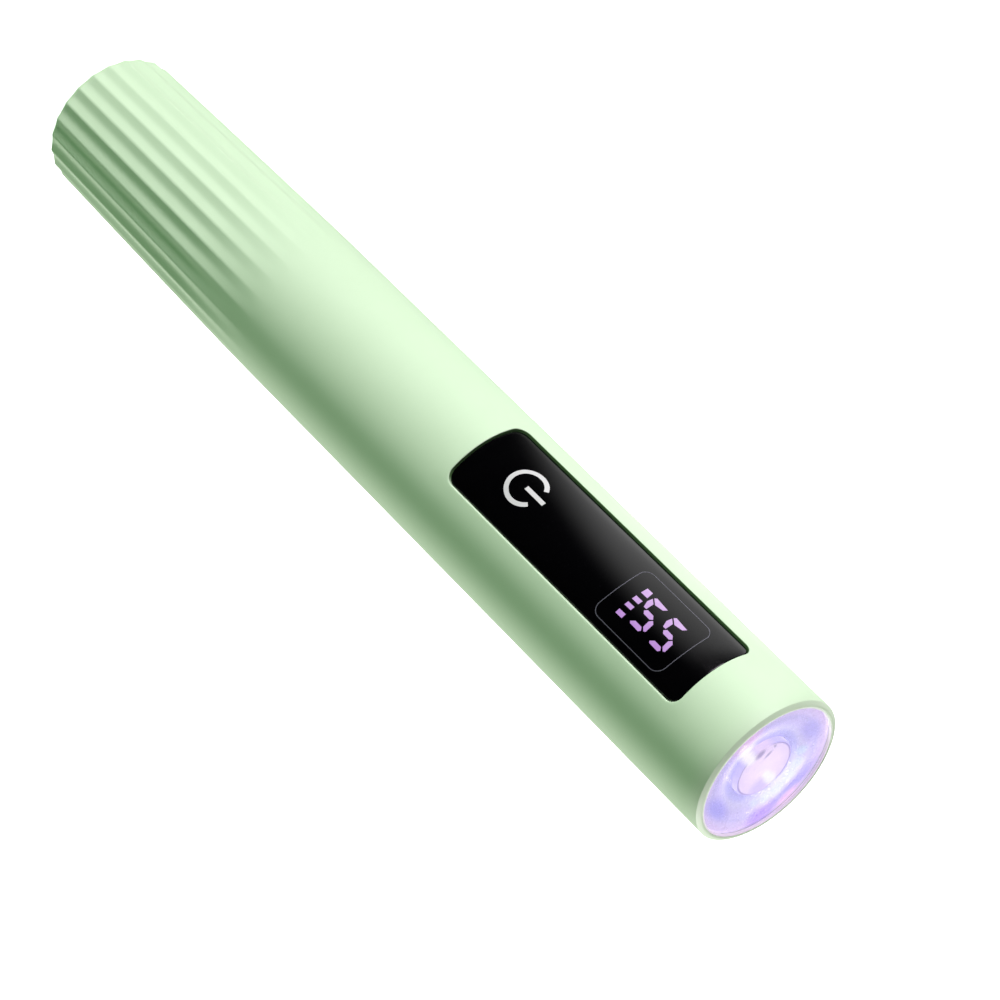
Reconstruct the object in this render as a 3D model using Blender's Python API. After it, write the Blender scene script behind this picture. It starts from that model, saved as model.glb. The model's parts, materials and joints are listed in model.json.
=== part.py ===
"""Handheld UV LED nail lamp: a fluted green tube with a curved black display panel and a round light head.

Frame: +Z runs along the tube from the tail to the light head, the tail's flat end stands on Z = 0,
and the display panel faces -Y. Every dimension below is in millimetres; MM turns it into metres.
Where a piece has a Z range, the name ends in BOTTOM and TOP.
"""

import math

import bmesh
import bpy
from mathutils import Vector

MM = 0.001
CLEAR = 0.05

# Tube
LENGTH = 145.4
RADIUS = 11.0
BORE_RADIUS = 9.0
RIM_ROUNDING = 0.42
SEAT_RADIUS = 10.2
SEAT_Z = 141.6

# Fluted grip at the tail
GRIP_LENGTH = 45.0
TAIL_RADIUS = 10.35
TAIL_ROUNDING = 1.0
FLUTES = 24
FLUTE_STEPS = 4
FLUTE_DEPTH = 0.25
TAPER_POWER = 1.25
FLUTE_FADE = 13.0
GRIP_LEVELS = (6, 12, 18, 24, 29, 33, 36, 39, 42)

# Tail wall, the counterbore for its cap and the opening behind it
TAIL_WALL = 2.4
CAP_RADIUS = 7.0
CAP_RECESS = 0.25
COUNTERBORE_DEPTH = 1.2
CAP_NECK_RADIUS = 5.9
CAP_GAP = 0.1
TAIL_SCREW_Y = 4.7
TAIL_SCREW_HEAD = (1.35, 0.9)
TAIL_SCREW_SHAFT = (0.7, 3.0)

# Display panel; its width is measured along the tube's surface
PANEL_BOTTOM = 89.0
PANEL_TOP = 135.5
PANEL_HALF_ARC = 6.76
PANEL_CORNER = 1.6
PANEL_RECESS = 0.35
PANEL_THICKNESS = 0.75
PANEL_GAP = 0.1
PANEL_BACK = RADIUS - PANEL_RECESS - PANEL_THICKNESS
ADHESIVE_INSET = 0.3
ADHESIVE_THICKNESS = 0.1
LEDGE = 1.2

# Number display under the panel
DISPLAY_Z = 124.7
DISPLAY_X = 0.8
DISPLAY_LENGTH = 13.0
MODULE_WIDTH = 7.6
MODULE_FACE_Y = -7.6
MASK_WIDTH = 6.6
DIFFUSER_HALF_ARC = 3.6
DIFFUSER_THICKNESS = 0.35
DIGIT_PITCH = 3.85
DIGIT_HEIGHT = 4.7
DIGIT_WIDTH = 3.2
FIRST_DIGIT = -0.82
SEGMENT = 0.8
SEGMENT_GAP = 0.1
GAUGE = -3.47
GAUGE_BARS = 4
GAUGE_PITCH = 1.25
GAUGE_BAR = 1.3

# Touch key under the printed symbol
ICON_Z = 98.2
COIL_RADIUS = 2.3
COIL_WIRE = 0.22
COIL_TURNS = 4
COIL_STEPS = 14
COIL_END_Y = -9.25

# Chassis and boards
CHASSIS_RADIUS = 8.8
CHASSIS_BORE = 7.6
CHASSIS_BOTTOM = 2.5
CHASSIS_TOP = 135.5
CHASSIS_FLOOR = 4.5
BAYS = {"socket": (CHASSIS_FLOOR, 19.0), "cell": (20.5, 74.0), "board": (75.5, 134.0)}
DECK_Y = -3.9
BOARD_THICKNESS = 0.8
BOARD_FACE_Y = DECK_Y - 0.1 - BOARD_THICKNESS
BOARD_BACK_Y = DECK_Y - 0.1
MAIN_BOARD_BOTTOM = 79.0
MAIN_BOARD_TOP = 133.5
MAIN_BOARD_WIDTH = 14.4
MAIN_SCREW_Z = (84.0, 110.0)
MAIN_SCREW_HEAD = (1.5, 0.8)
MAIN_SCREW_SHAFT = (0.7, 4.5)
POST_RADIUS = 1.9

# Battery
CELL_RADIUS = 6.9
CELL_BOTTOM = 22.0
CELL_TOP = 71.0
CELL_BUTTON = 1.0
WRAP_RADIUS = CELL_RADIUS + 0.06
WRAP_THICKNESS = 0.2
TAB_THICKNESS = 0.25
TAB_WIDTH = 3.0
TAB_Y = 7.35
PROTECTION_RADIUS = 6.6
PROTECTION_Z = CELL_TOP + 1.5

# Charging socket
SOCKET_WIDTH = 8.94
SOCKET_HEIGHT = 3.26
SOCKET_WALL = 0.3
SOCKET_MOUTH = 0.5
SOCKET_LENGTH = 7.2
SOCKET_BOARD_TOP = 17.5
TONGUE_WIDTH = 6.7
TONGUE_THICKNESS = 0.7

# Light head
LENS_RADIUS = 10.1
LENS_BACK = 144.25
LENS_FRONT = 145.0
LENS_LIP = 145.25
LENS_LIP_WIDTH = 0.2
FLANGE_BACK = SEAT_Z + 0.5
GASKET_INSIDE = 9.15
CENTER_LENS_RADIUS = 4.3
CENTER_LENS_BACK = 141.4
CENTER_LENS_RIM = 144.12
CENTER_LENS_FRONT = 144.2
LED_BOARD_RADIUS = 8.4
LED_BOARD_Z = 139.0
LED_BOARD_THICKNESS = 1.2
LED_SCREW_X = 6.5
LED_SCREW_HEAD = (1.3, 0.6)
LED_SCREW_SHAFT = (0.8, 3.0)
LED_LEAD_X = 3.0
PAD_RADIUS = 5.0
PAD_THICKNESS = 0.4
EMITTER_WIDTH = 5.0
EMITTER_WINDOW_RADIUS = 1.9

WIRE_RADIUS = 0.4


def clear_scene():
    for obj in list(bpy.data.objects):
        bpy.data.objects.remove(obj)


def material(name, color, roughness, metallic=0.0):
    made = bpy.data.materials.new(name)
    made.use_nodes = True
    shader = made.node_tree.nodes["Principled BSDF"]
    shader.inputs["Base Color"].default_value = (*color, 1.0)
    shader.inputs["Roughness"].default_value = roughness
    shader.inputs["Metallic"].default_value = metallic
    return made


def add_object(name, bm, finish):
    """Turns a bmesh in millimetres into a named object in metres."""
    bmesh.ops.recalc_face_normals(bm, faces=bm.faces)
    bmesh.ops.scale(bm, vec=(MM, MM, MM), verts=bm.verts)
    mesh = bpy.data.meshes.new(name)
    bm.to_mesh(mesh)
    bm.free()
    mesh.shade_smooth()
    mesh.set_sharp_from_angle(angle=math.radians(35))
    mesh.materials.append(finish)
    obj = bpy.data.objects.new(name, mesh)
    bpy.context.scene.collection.objects.link(obj)
    return obj


def boolean(target, helper, operation="DIFFERENCE"):
    """Combines helper with target and keeps helper as a hidden guide."""
    helper.hide_render = True
    helper.display_type = "WIRE"
    modifier = target.modifiers.new(helper.name, "BOOLEAN")
    modifier.operation = operation
    modifier.solver = "EXACT"
    modifier.object = helper
    return target


def turned(name, profile, finish, segments=32):
    """A solid of revolution about Z from (radius, z) points, closed on itself or on the axis."""
    bm = bmesh.new()
    points = [bm.verts.new((radius, 0.0, z)) for radius, z in profile]
    edges = [bm.edges.new(pair) for pair in zip(points, points[1:])]
    if profile[0][0] > 0.0:
        edges.append(bm.edges.new((points[-1], points[0])))
    bmesh.ops.spin(
        bm, geom=points + edges, cent=(0, 0, 0), axis=(0, 0, 1),
        angle=2 * math.pi, steps=segments, use_duplicate=False,
    )
    bmesh.ops.remove_doubles(bm, verts=bm.verts, dist=1e-3)
    return add_object(name, bm, finish)


def ring(name, inside, outside, low, high, finish, segments=32):
    """A flat ring with a square section."""
    return turned(name, [(inside, low), (outside, low), (outside, high), (inside, high)], finish, segments)


def cylinder(name, radius, low, high, finish, center=(0.0, 0.0), segments=24):
    """An upright cylinder from z = low to z = high."""
    obj = turned(name, [(0, low), (radius, low), (radius, high), (0, high)], finish, segments)
    obj.location = (center[0] * MM, center[1] * MM, 0)
    return obj


def rod_along_y(name, radius, low, high, finish, z, segments=20):
    """A cylinder in the plane X = 0 whose axis runs along Y, from y = low to y = high."""
    obj = turned(name, [(0, low), (radius, low), (radius, high), (0, high)], finish, segments)
    obj.rotation_euler = (-math.pi / 2, 0, 0)
    obj.location = (0, 0, z * MM)
    return obj


def extruded(bm, corners, travel):
    """Extrudes a flat outline of 3D corners by a travel vector."""
    face = bm.faces.new([bm.verts.new(corner) for corner in corners])
    grown = bmesh.ops.extrude_face_region(bm, geom=[face])["geom"]
    moved = [item for item in grown if isinstance(item, bmesh.types.BMVert)]
    bmesh.ops.translate(bm, vec=travel, verts=moved)


def prism(name, outline, low, high, finish):
    """An outline of (x, y) points, extruded along Z from low to high."""
    bm = bmesh.new()
    extruded(bm, [(x, y, low) for x, y in outline], (0, 0, high - low))
    return add_object(name, bm, finish)


def prisms_along_y(name, outlines, low, high, finish):
    """Separate outlines of (x, z) points, each extruded along Y from low to high, in one object."""
    bm = bmesh.new()
    for outline in outlines:
        extruded(bm, [(x, low, z) for x, z in outline], (0, high - low, 0))
    return add_object(name, bm, finish)


def block(name, low, high, finish, bevel=0.0):
    """A box between two corners, with its edges bevelled if bevel is given."""
    bm = bmesh.new()
    bmesh.ops.create_cube(bm, size=1.0)
    low, high = Vector(low), Vector(high)
    bmesh.ops.scale(bm, vec=high - low, verts=bm.verts)
    bmesh.ops.translate(bm, vec=(low + high) / 2, verts=bm.verts)
    if bevel:
        bmesh.ops.bevel(bm, geom=list(bm.edges), offset=bevel, segments=1, affect="EDGES")
    return add_object(name, bm, finish)


def stadium(width, height, steps=6):
    """The outline of a slot with round ends, as (x, y) points."""
    end, straight = height / 2, (width - height) / 2
    points = []
    for side in (1, -1):
        for i in range(steps + 1):
            turn = math.pi * i / steps - math.pi / 2
            points.append((side * (straight + end * math.cos(turn)), side * end * math.sin(turn)))
    return points


def arc_columns(half_arc, corner, corner_steps=5, middle_steps=12):
    """Columns across a rounded rectangle on the tube: (arc length from its middle, inset of its ends)."""
    left = []
    for i in range(corner_steps + 1):
        turn = math.pi / 2 * i / corner_steps
        left.append((-half_arc + corner * (1 - math.cos(turn)), corner * (1 - math.sin(turn))))
    inner = half_arc - corner
    middle = [(-inner + 2 * inner * i / middle_steps, 0.0) for i in range(1, middle_steps)]
    return left + middle + [(-arc, inset) for arc, inset in reversed(left)]


def curved_plate(name, half_arc, z_range, corner, radii, finish, center_arc=0.0):
    """A rounded rectangle bent round the tube's axis, centred on the -Y side or center_arc round from it."""
    low, high = z_range
    inside, outside = radii
    bm = bmesh.new()
    sections = []
    for arc, inset in arc_columns(half_arc, corner):
        turn = (arc + center_arc) / RADIUS
        corners = (
            (inside, low + inset), (outside, low + inset), (outside, high - inset), (inside, high - inset),
        )
        sections.append([bm.verts.new((r * math.sin(turn), -r * math.cos(turn), z)) for r, z in corners])
    for here, there in zip(sections, sections[1:]):
        for i in range(4):
            j = (i + 1) % 4
            bm.faces.new((here[i], here[j], there[j], there[i]))
    bm.faces.new(sections[0])
    bm.faces.new(sections[-1])
    return add_object(name, bm, finish)


def panel_shape(name, inset, radii, finish):
    """The panel's rounded rectangle, drawn in by inset on every side, between two radii."""
    return curved_plate(
        name, PANEL_HALF_ARC - inset, (PANEL_BOTTOM + inset, PANEL_TOP - inset),
        max(PANEL_CORNER - inset, 1.0), radii, finish,
    )


def smooth_route(points, step):
    """Points about step apart on a smooth curve through the given ones."""
    ends = [2 * points[0] - points[1], *points, 2 * points[-1] - points[-2]]
    route = []
    for i in range(1, len(ends) - 2):
        a, b, c, d = ends[i - 1 : i + 3]
        pieces = max(1, round((c - b).length / step))
        for k in range(pieces):
            t = k / pieces
            route.append(
                b + 0.5 * (c - a) * t
                + (a - 2.5 * b + 2 * c - 0.5 * d) * t**2
                + (1.5 * (b - c) + 0.5 * (d - a)) * t**3
            )
    return [*route, points[-1]]


def wire(name, points, radius, finish):
    """A round wire along the given points, with closed ends."""
    curve = bpy.data.curves.new(name, "CURVE")
    curve.dimensions = "3D"
    curve.bevel_depth = radius * MM
    curve.bevel_resolution = 2
    curve.use_fill_caps = True
    spline = curve.splines.new("POLY")
    spline.points.add(len(points) - 1)
    for slot, point in zip(spline.points, points):
        slot.co = (*(point * MM), 1.0)
    curve.materials.append(finish)
    obj = bpy.data.objects.new(name, curve)
    bpy.context.scene.collection.objects.link(obj)
    return obj


def screw(name, head, shaft, finish, countersunk=False):
    """A cross-head screw along Z with its head's top at z = 0. head and shaft are (radius, length)."""
    head_radius, head_height = head
    shaft_radius, shaft_length = shaft
    tip = -head_height - shaft_length
    profile = [(0, 0), (head_radius, 0)]
    if not countersunk:
        profile.append((head_radius, -head_height))
    profile += [(shaft_radius, -head_height), (shaft_radius, tip + shaft_radius), (0, tip)]
    obj = turned(name, profile, finish, 20)
    arm, width = head_radius * 0.6, 0.2
    cross = [
        (arm, width), (width, width), (width, arm), (-width, arm), (-width, width), (-arm, width),
        (-arm, -width), (-width, -width), (-width, -arm), (width, -arm), (width, -width), (arm, -width),
    ]
    recess = prism(f"{name}_recess_cutter", cross, -head_height * 0.55, 1.0, finish)
    recess.parent = obj
    return boolean(obj, recess)


def crest_radius(z):
    """The radius over the flute crests at height z, with the tail's rounded edge."""
    along = max(0.0, 1 - z / GRIP_LENGTH)
    radius = RADIUS - (RADIUS - TAIL_RADIUS) * along**TAPER_POWER
    if z < TAIL_ROUNDING:
        radius -= TAIL_ROUNDING - math.sqrt(TAIL_ROUNDING**2 - (TAIL_ROUNDING - z) ** 2)
    return radius


def flute_share(z):
    """How deep the flutes are at height z, from 0 where they run out to 1 at the tail."""
    reach = min(1.0, max(0.0, (GRIP_LENGTH - z) / FLUTE_FADE))
    return reach * reach * (3 - 2 * reach)


def fluted_radius(z, share):
    """The outer radius at height z, a share of the way from one flute crest to the next."""
    crest = crest_radius(z)
    half = math.pi / FLUTES
    away = (2 * share - 1) * half
    chord = crest * math.cos(half) / math.cos(away)
    hollow = FLUTE_DEPTH * crest / RADIUS * (1 - (away / half) ** 2) * min(1.0, z / TAIL_ROUNDING)
    return crest + (chord - hollow - crest) * flute_share(z)


def tube_levels():
    """The heights at which the tube's outside has a ring of points."""
    rounding = [TAIL_ROUNDING * (1 - math.cos(math.radians(a))) for a in (0, 20, 40, 60, 90)]
    return [*rounding, *GRIP_LEVELS, GRIP_LENGTH, LENGTH - RIM_ROUNDING, LENGTH]


def tube_solid(finish):
    """The tube's outside as a solid bar, with a flute's hollow on the panel's centre line."""
    count = FLUTES * FLUTE_STEPS
    bm = bmesh.new()
    rings = []
    for z in tube_levels():
        rim = RIM_ROUNDING if z == LENGTH else 0.0
        loop = []
        for i in range(count):
            angle = 2 * math.pi * (i / count + 0.5 / FLUTES)
            radius = fluted_radius(z, (i % FLUTE_STEPS) / FLUTE_STEPS) - rim
            loop.append(bm.verts.new((radius * math.sin(angle), -radius * math.cos(angle), z)))
        rings.append(loop)
    for below, above in zip(rings, rings[1:]):
        for i in range(count):
            j = (i + 1) % count
            bm.faces.new((below[i], below[j], above[j], above[i]))
    bm.faces.new(rings[0])
    bm.faces.new(rings[-1])
    return add_object("body_shell", bm, finish)


def body_shell(finish):
    shell = tube_solid(finish)
    bore = [
        (0, -1), (CAP_RADIUS + CAP_GAP, -1), (CAP_RADIUS + CAP_GAP, COUNTERBORE_DEPTH),
        (CAP_NECK_RADIUS + CAP_GAP, COUNTERBORE_DEPTH), (CAP_NECK_RADIUS + CAP_GAP, TAIL_WALL),
        (BORE_RADIUS, TAIL_WALL), (BORE_RADIUS, SEAT_Z), (SEAT_RADIUS, SEAT_Z),
        (SEAT_RADIUS, LENGTH + 1), (0, LENGTH + 1),
    ]
    boolean(shell, turned("bore_cutter", bore, finish, 48))
    pocket_floor = PANEL_BACK - ADHESIVE_THICKNESS - 2 * CLEAR
    boolean(shell, panel_shape("panel_pocket_cutter", 0, (pocket_floor, RADIUS + 2), finish))
    boolean(shell, panel_shape("window_cutter", LEDGE, (BORE_RADIUS - 1.5, RADIUS + 2), finish))


def panel_parts(glossy_black, foam):
    panel_shape("display_panel", PANEL_GAP, (PANEL_BACK, RADIUS - PANEL_RECESS), glossy_black)
    front = PANEL_BACK - CLEAR
    adhesive = panel_shape("panel_adhesive", ADHESIVE_INSET, (front - ADHESIVE_THICKNESS, front), foam)
    boolean(adhesive, panel_shape("adhesive_window_cutter", LEDGE, (front - 1, front + 1), foam))


def segment_outline(center, length, along_z):
    """One bar of a seven-segment digit as (x, z) points: six-sided, with pointed ends."""
    half, tip = length / 2, SEGMENT / 2
    bar = [
        (-half, 0), (-half + tip, -tip), (half - tip, -tip),
        (half, 0), (half - tip, tip), (-half + tip, tip),
    ]
    return [(center[0] + (v if along_z else u), center[1] + (u if along_z else v)) for u, v in bar]


def segment_outlines():
    """The bars of both digits and of the charge gauge. The number reads along +Z, with its top toward -X."""
    upright = (DIGIT_HEIGHT - SEGMENT) / 2
    side = (DIGIT_WIDTH - SEGMENT) / 2
    outlines = []
    for digit in (0, 1):
        middle = DISPLAY_Z + FIRST_DIGIT + digit * DIGIT_PITCH
        for x in (-upright, 0.0, upright):
            outlines.append(segment_outline((DISPLAY_X + x, middle), 2 * side - SEGMENT_GAP, True))
        for z in (-side, side):
            for x in (-upright / 2, upright / 2):
                outlines.append(segment_outline((DISPLAY_X + x, middle + z), upright - SEGMENT_GAP, False))
    for bar in range(GAUGE_BARS):
        x = DISPLAY_X + GAUGE_PITCH * (bar - (GAUGE_BARS - 1) / 2)
        outlines.append(segment_outline((x, DISPLAY_Z + GAUGE), GAUGE_BAR, True))
    return outlines


def display_parts(white, black, milky):
    """The number display: an LED block on the board, and a light-well mask and diffuser under the panel."""
    low, high = DISPLAY_Z - DISPLAY_LENGTH / 2, DISPLAY_Z + DISPLAY_LENGTH / 2
    left, right = DISPLAY_X - MODULE_WIDTH / 2, DISPLAY_X + MODULE_WIDTH / 2
    block("display_module", (left, MODULE_FACE_Y, low), (right, BOARD_FACE_Y - CLEAR, high), white, 0.2)
    left, right = DISPLAY_X - MASK_WIDTH / 2, DISPLAY_X + MASK_WIDTH / 2
    mask = block("display_mask", (left, -PANEL_BACK, low), (right, MODULE_FACE_Y - CLEAR, high), black)
    diffuser_back = PANEL_BACK - CLEAR - DIFFUSER_THICKNESS
    front = cylinder("mask_front_guide", diffuser_back - CLEAR, low - 1, high + 1, black, segments=96)
    boolean(mask, front, "INTERSECT")
    boolean(mask, prisms_along_y("light_well_cutter", segment_outlines(), -RADIUS, BOARD_FACE_Y, black))
    curved_plate(
        "display_diffuser", DIFFUSER_HALF_ARC, (low, high), 0.5,
        (diffuser_back, diffuser_back + DIFFUSER_THICKNESS), milky, DISPLAY_X,
    )


def touch_spring(finish):
    """The coil that carries the touch key's signal from the board up to the back of the panel."""
    start_y = BOARD_FACE_Y - COIL_WIRE - CLEAR
    count = COIL_TURNS * COIL_STEPS
    points = []
    for i in range(count + 1):
        angle = 2 * math.pi * i / COIL_STEPS
        y = start_y + (COIL_END_Y - start_y) * i / count
        points.append(Vector((COIL_RADIUS * math.cos(angle), y, ICON_Z + COIL_RADIUS * math.sin(angle))))
    wire("touch_spring", points, COIL_WIRE, finish)


def chip(name, half_width, z_range, y_range, finish, bevel=0.15):
    """A small component on a board, centred on X = 0."""
    block(name, (-half_width, y_range[0], z_range[0]), (half_width, y_range[1], z_range[1]), finish, bevel)


def main_board_parts(green, black, white, steel, ferrite, tan):
    half = MAIN_BOARD_WIDTH / 2
    board = block(
        "main_board", (-half, BOARD_FACE_Y, MAIN_BOARD_BOTTOM), (half, BOARD_BACK_Y, MAIN_BOARD_TOP), green
    )
    for number, z in enumerate(MAIN_SCREW_Z, 1):
        boolean(board, rod_along_y(f"board_hole_cutter_{number}", 1.0, -7, -2, green, z))
        fixing = screw(f"main_board_screw_{number}", MAIN_SCREW_HEAD, MAIN_SCREW_SHAFT, steel)
        fixing.rotation_euler = (math.pi / 2, 0, 0)
        fixing.location = (0, (BOARD_FACE_Y - CLEAR - MAIN_SCREW_HEAD[1]) * MM, z * MM)
    back = BOARD_BACK_Y + CLEAR
    chip("battery_connector", 3.2, (88.0, 92.0), (back, back + 3.6), white)
    chip("controller_chip", 1.95, (94.0, 104.0), (back, back + 1.5), black)
    chip("boost_inductor", 3.0, (114.0, 120.0), (back, back + 2.9), ferrite, 0.5)
    chip("driver_transistor", 2.4, (122.0, 126.0), (back, back + 1.5), black)
    chip("output_capacitor", 1.6, (128.0, 130.6), (back, back + 2.0), tan)
    front = BOARD_FACE_Y - CLEAR
    chip("icon_backlight", 1.75, (ICON_Z - 0.8, ICON_Z + 0.8), (front - 1.2, front), white, 0.1)


def inner_chassis(finish):
    """The inner carrier: a trough with bulkheads that holds the socket board, the cell and the main board."""
    body = cylinder("inner_chassis", CHASSIS_RADIUS, CHASSIS_BOTTOM, CHASSIS_TOP, finish, segments=40)
    boolean(body, block("open_side_cutter", (-12, -12, CHASSIS_FLOOR), (12, DECK_Y, LENGTH), finish))
    for label, (low, high) in BAYS.items():
        boolean(body, cylinder(f"{label}_bay_cutter", CHASSIS_BORE, low, high, finish, segments=40))
    for number, z in enumerate(MAIN_SCREW_Z, 1):
        boolean(body, rod_along_y(f"board_post_{number}", POST_RADIUS, DECK_Y, 8.0, finish, z), "UNION")
        boolean(body, rod_along_y(f"board_pilot_cutter_{number}", 0.8, -5, 1.5, finish, z, 16))
    slot = stadium(SOCKET_WIDTH + 0.5, SOCKET_HEIGHT + 0.5)
    boolean(body, prism("socket_slot_cutter", slot, 0, CHASSIS_FLOOR + 1, finish))
    for number, y in enumerate((-TAIL_SCREW_Y, TAIL_SCREW_Y), 1):
        boolean(body, cylinder(f"tail_pilot_cutter_{number}", 0.9, 0, 6, finish, (0, y), 16))
    boolean(body, block("cell_lead_slot_cutter", (-4, -6, 73), (4, 0.2, 76), finish))
    boolean(body, block("tab_groove_cutter", (-1.9, 6.5, 21), (1.9, 8.1, 73.9), finish))


def battery_parts(steel, wrap, paper, nickel, green, foam):
    turned(
        "battery_cell",
        [(0, CELL_BOTTOM), (CELL_RADIUS - 0.4, CELL_BOTTOM), (CELL_RADIUS, CELL_BOTTOM + 0.4),
         (CELL_RADIUS, CELL_TOP - 0.6), (CELL_RADIUS - 0.6, CELL_TOP), (2.8, CELL_TOP),
         (2.6, CELL_TOP + CELL_BUTTON), (0, CELL_TOP + CELL_BUTTON)],
        steel,
    )
    outside, lip, crimp = WRAP_RADIUS + WRAP_THICKNESS, CELL_RADIUS - 1.4, CELL_TOP + 0.1
    turned(
        "battery_wrap",
        [(WRAP_RADIUS, CELL_BOTTOM + 0.3), (outside, CELL_BOTTOM + 0.3), (outside, crimp + WRAP_THICKNESS),
         (lip, crimp + WRAP_THICKNESS), (lip, crimp), (WRAP_RADIUS, crimp)],
        wrap,
    )
    ring("battery_insulator", 3.2, lip - 0.2, crimp, crimp + 0.3, paper, 28)
    tab_z = CELL_TOP + CELL_BUTTON + 0.1
    block("battery_tab_positive", (-2, -3, tab_z), (2, 3, tab_z + TAB_THICKNESS), nickel)
    board_top = PROTECTION_Z + BOARD_THICKNESS
    cylinder("protection_board", PROTECTION_RADIUS, PROTECTION_Z, board_top, green, segments=32)
    strip_low, strip_high = CELL_BOTTOM - 0.4, board_top + 0.4
    far = TAB_Y + TAB_THICKNESS
    strip = [
        (0, strip_low), (far, strip_low), (far, strip_high), (5.0, strip_high),
        (5.0, strip_high - TAB_THICKNESS), (TAB_Y, strip_high - TAB_THICKNESS),
        (TAB_Y, strip_low + TAB_THICKNESS), (0, strip_low + TAB_THICKNESS),
    ]
    tab = prism("battery_tab_negative", strip, -TAB_WIDTH / 2, TAB_WIDTH / 2, nickel)
    tab.rotation_euler = (math.pi / 2, 0, math.pi / 2)
    block("battery_foam", (-2.5, -8.6, 30), (2.5, -7.25, 62), foam)


def leads(red, black):
    """Pairs of leads: cell to main board, socket board to main board, and main board to LED board."""
    front = BOARD_FACE_Y - WIRE_RADIUS - CLEAR
    head = LED_BOARD_Z + LED_BOARD_THICKNESS
    routes = {
        "battery": (3.5, [
            (1.6, -0.6, 73.8), (2.2, -1.2, 75.5), (3.0, -2.0, 80), (3.0, -2.2, 84.5), (1.7, -2.05, 87.9),
        ]),
        "socket": (6.0, [
            (3.2, 1.2, 15), (3.6, -1.5, 16.6), (4.3, -5.6, 19.5), (4.6, -6.9, 24), (4.6, -6.9, 46),
            (4.6, -6.9, 70), (4.8, -6.4, 76), (4.8, front - 0.05, 82),
        ]),
        "led": (1.5, [
            (LED_LEAD_X, front, 131.9), (LED_LEAD_X, -6.3, 134), (LED_LEAD_X, -7.3, 136.2),
            (LED_LEAD_X, -7.3, LED_BOARD_Z + 0.1), (2.9, -6.9, head + 0.3), (2.6, -5.7, head + 0.55),
        ]),
    }
    for label, (step, route) in routes.items():
        for side, color, finish in ((1, "red", red), (-1, "black", black)):
            points = [Vector((side * x, y, z)) for x, y, z in route]
            wire(f"{label}_lead_{color}", smooth_route(points, step), WIRE_RADIUS, finish)


def socket_parts(steel, black, green):
    """The charging socket, its tongue, and the small board that carries them."""
    top = SOCKET_MOUTH + SOCKET_LENGTH
    inside_width, inside_height = SOCKET_WIDTH - 2 * SOCKET_WALL, SOCKET_HEIGHT - 2 * SOCKET_WALL
    shell = prism("socket_shell", stadium(SOCKET_WIDTH, SOCKET_HEIGHT), SOCKET_MOUTH, top, steel)
    inside = stadium(inside_width, inside_height)
    boolean(shell, prism("socket_inside_cutter", inside, -1, top - SOCKET_WALL, steel))
    half_width, half_thickness = TONGUE_WIDTH / 2, TONGUE_THICKNESS / 2
    tongue = block(
        "socket_tongue", (-half_width, -half_thickness, SOCKET_MOUTH + 0.9),
        (half_width, half_thickness, top - 1.4), black, 0.1,
    )
    base = stadium(inside_width - 2 * CLEAR, inside_height - 2 * CLEAR)
    boolean(tongue, prism("tongue_base", base, top - 1.5, top - SOCKET_WALL - CLEAR, black), "UNION")
    board_y = SOCKET_HEIGHT / 2 + 0.1
    board_bottom = CHASSIS_FLOOR + 0.2
    board_low = (-5.2, board_y, board_bottom)
    board_high = (5.2, board_y + BOARD_THICKNESS, SOCKET_BOARD_TOP)
    block("socket_board", board_low, board_high, green)
    chip("charge_chip", 1.5, (10.0, 13.0), (board_y - CLEAR - 1.0, board_y - CLEAR), black, 0.1)


def tail_parts(mint, steel):
    rounding = 0.2
    cap = turned(
        "tail_cap",
        [(0, CAP_RECESS), (CAP_RADIUS - rounding, CAP_RECESS), (CAP_RADIUS, CAP_RECESS + rounding),
         (CAP_RADIUS, COUNTERBORE_DEPTH - CLEAR), (CAP_NECK_RADIUS, COUNTERBORE_DEPTH - CLEAR),
         (CAP_NECK_RADIUS, TAIL_WALL), (0, TAIL_WALL)],
        mint, 40,
    )
    slot = stadium(SOCKET_WIDTH + 0.3, SOCKET_HEIGHT + 0.3)
    boolean(cap, prism("cap_slot_cutter", slot, -1, TAIL_WALL + 1, mint))
    head_z = CAP_RECESS + 0.1
    for number, y in enumerate((-TAIL_SCREW_Y, TAIL_SCREW_Y), 1):
        sink = turned(
            f"countersink_cutter_{number}",
            [(0, -1), (1.5, -1), (1.5, head_z), (0.85, head_z + 0.95), (0.85, 5), (0, 5)], mint, 20,
        )
        sink.location = (0, y * MM, 0)
        boolean(cap, sink)
        fixing = screw(f"tail_screw_{number}", TAIL_SCREW_HEAD, TAIL_SCREW_SHAFT, steel, countersunk=True)
        fixing.rotation_euler = (math.pi, 0, 0)
        fixing.location = (0, y * MM, head_z * MM)


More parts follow.
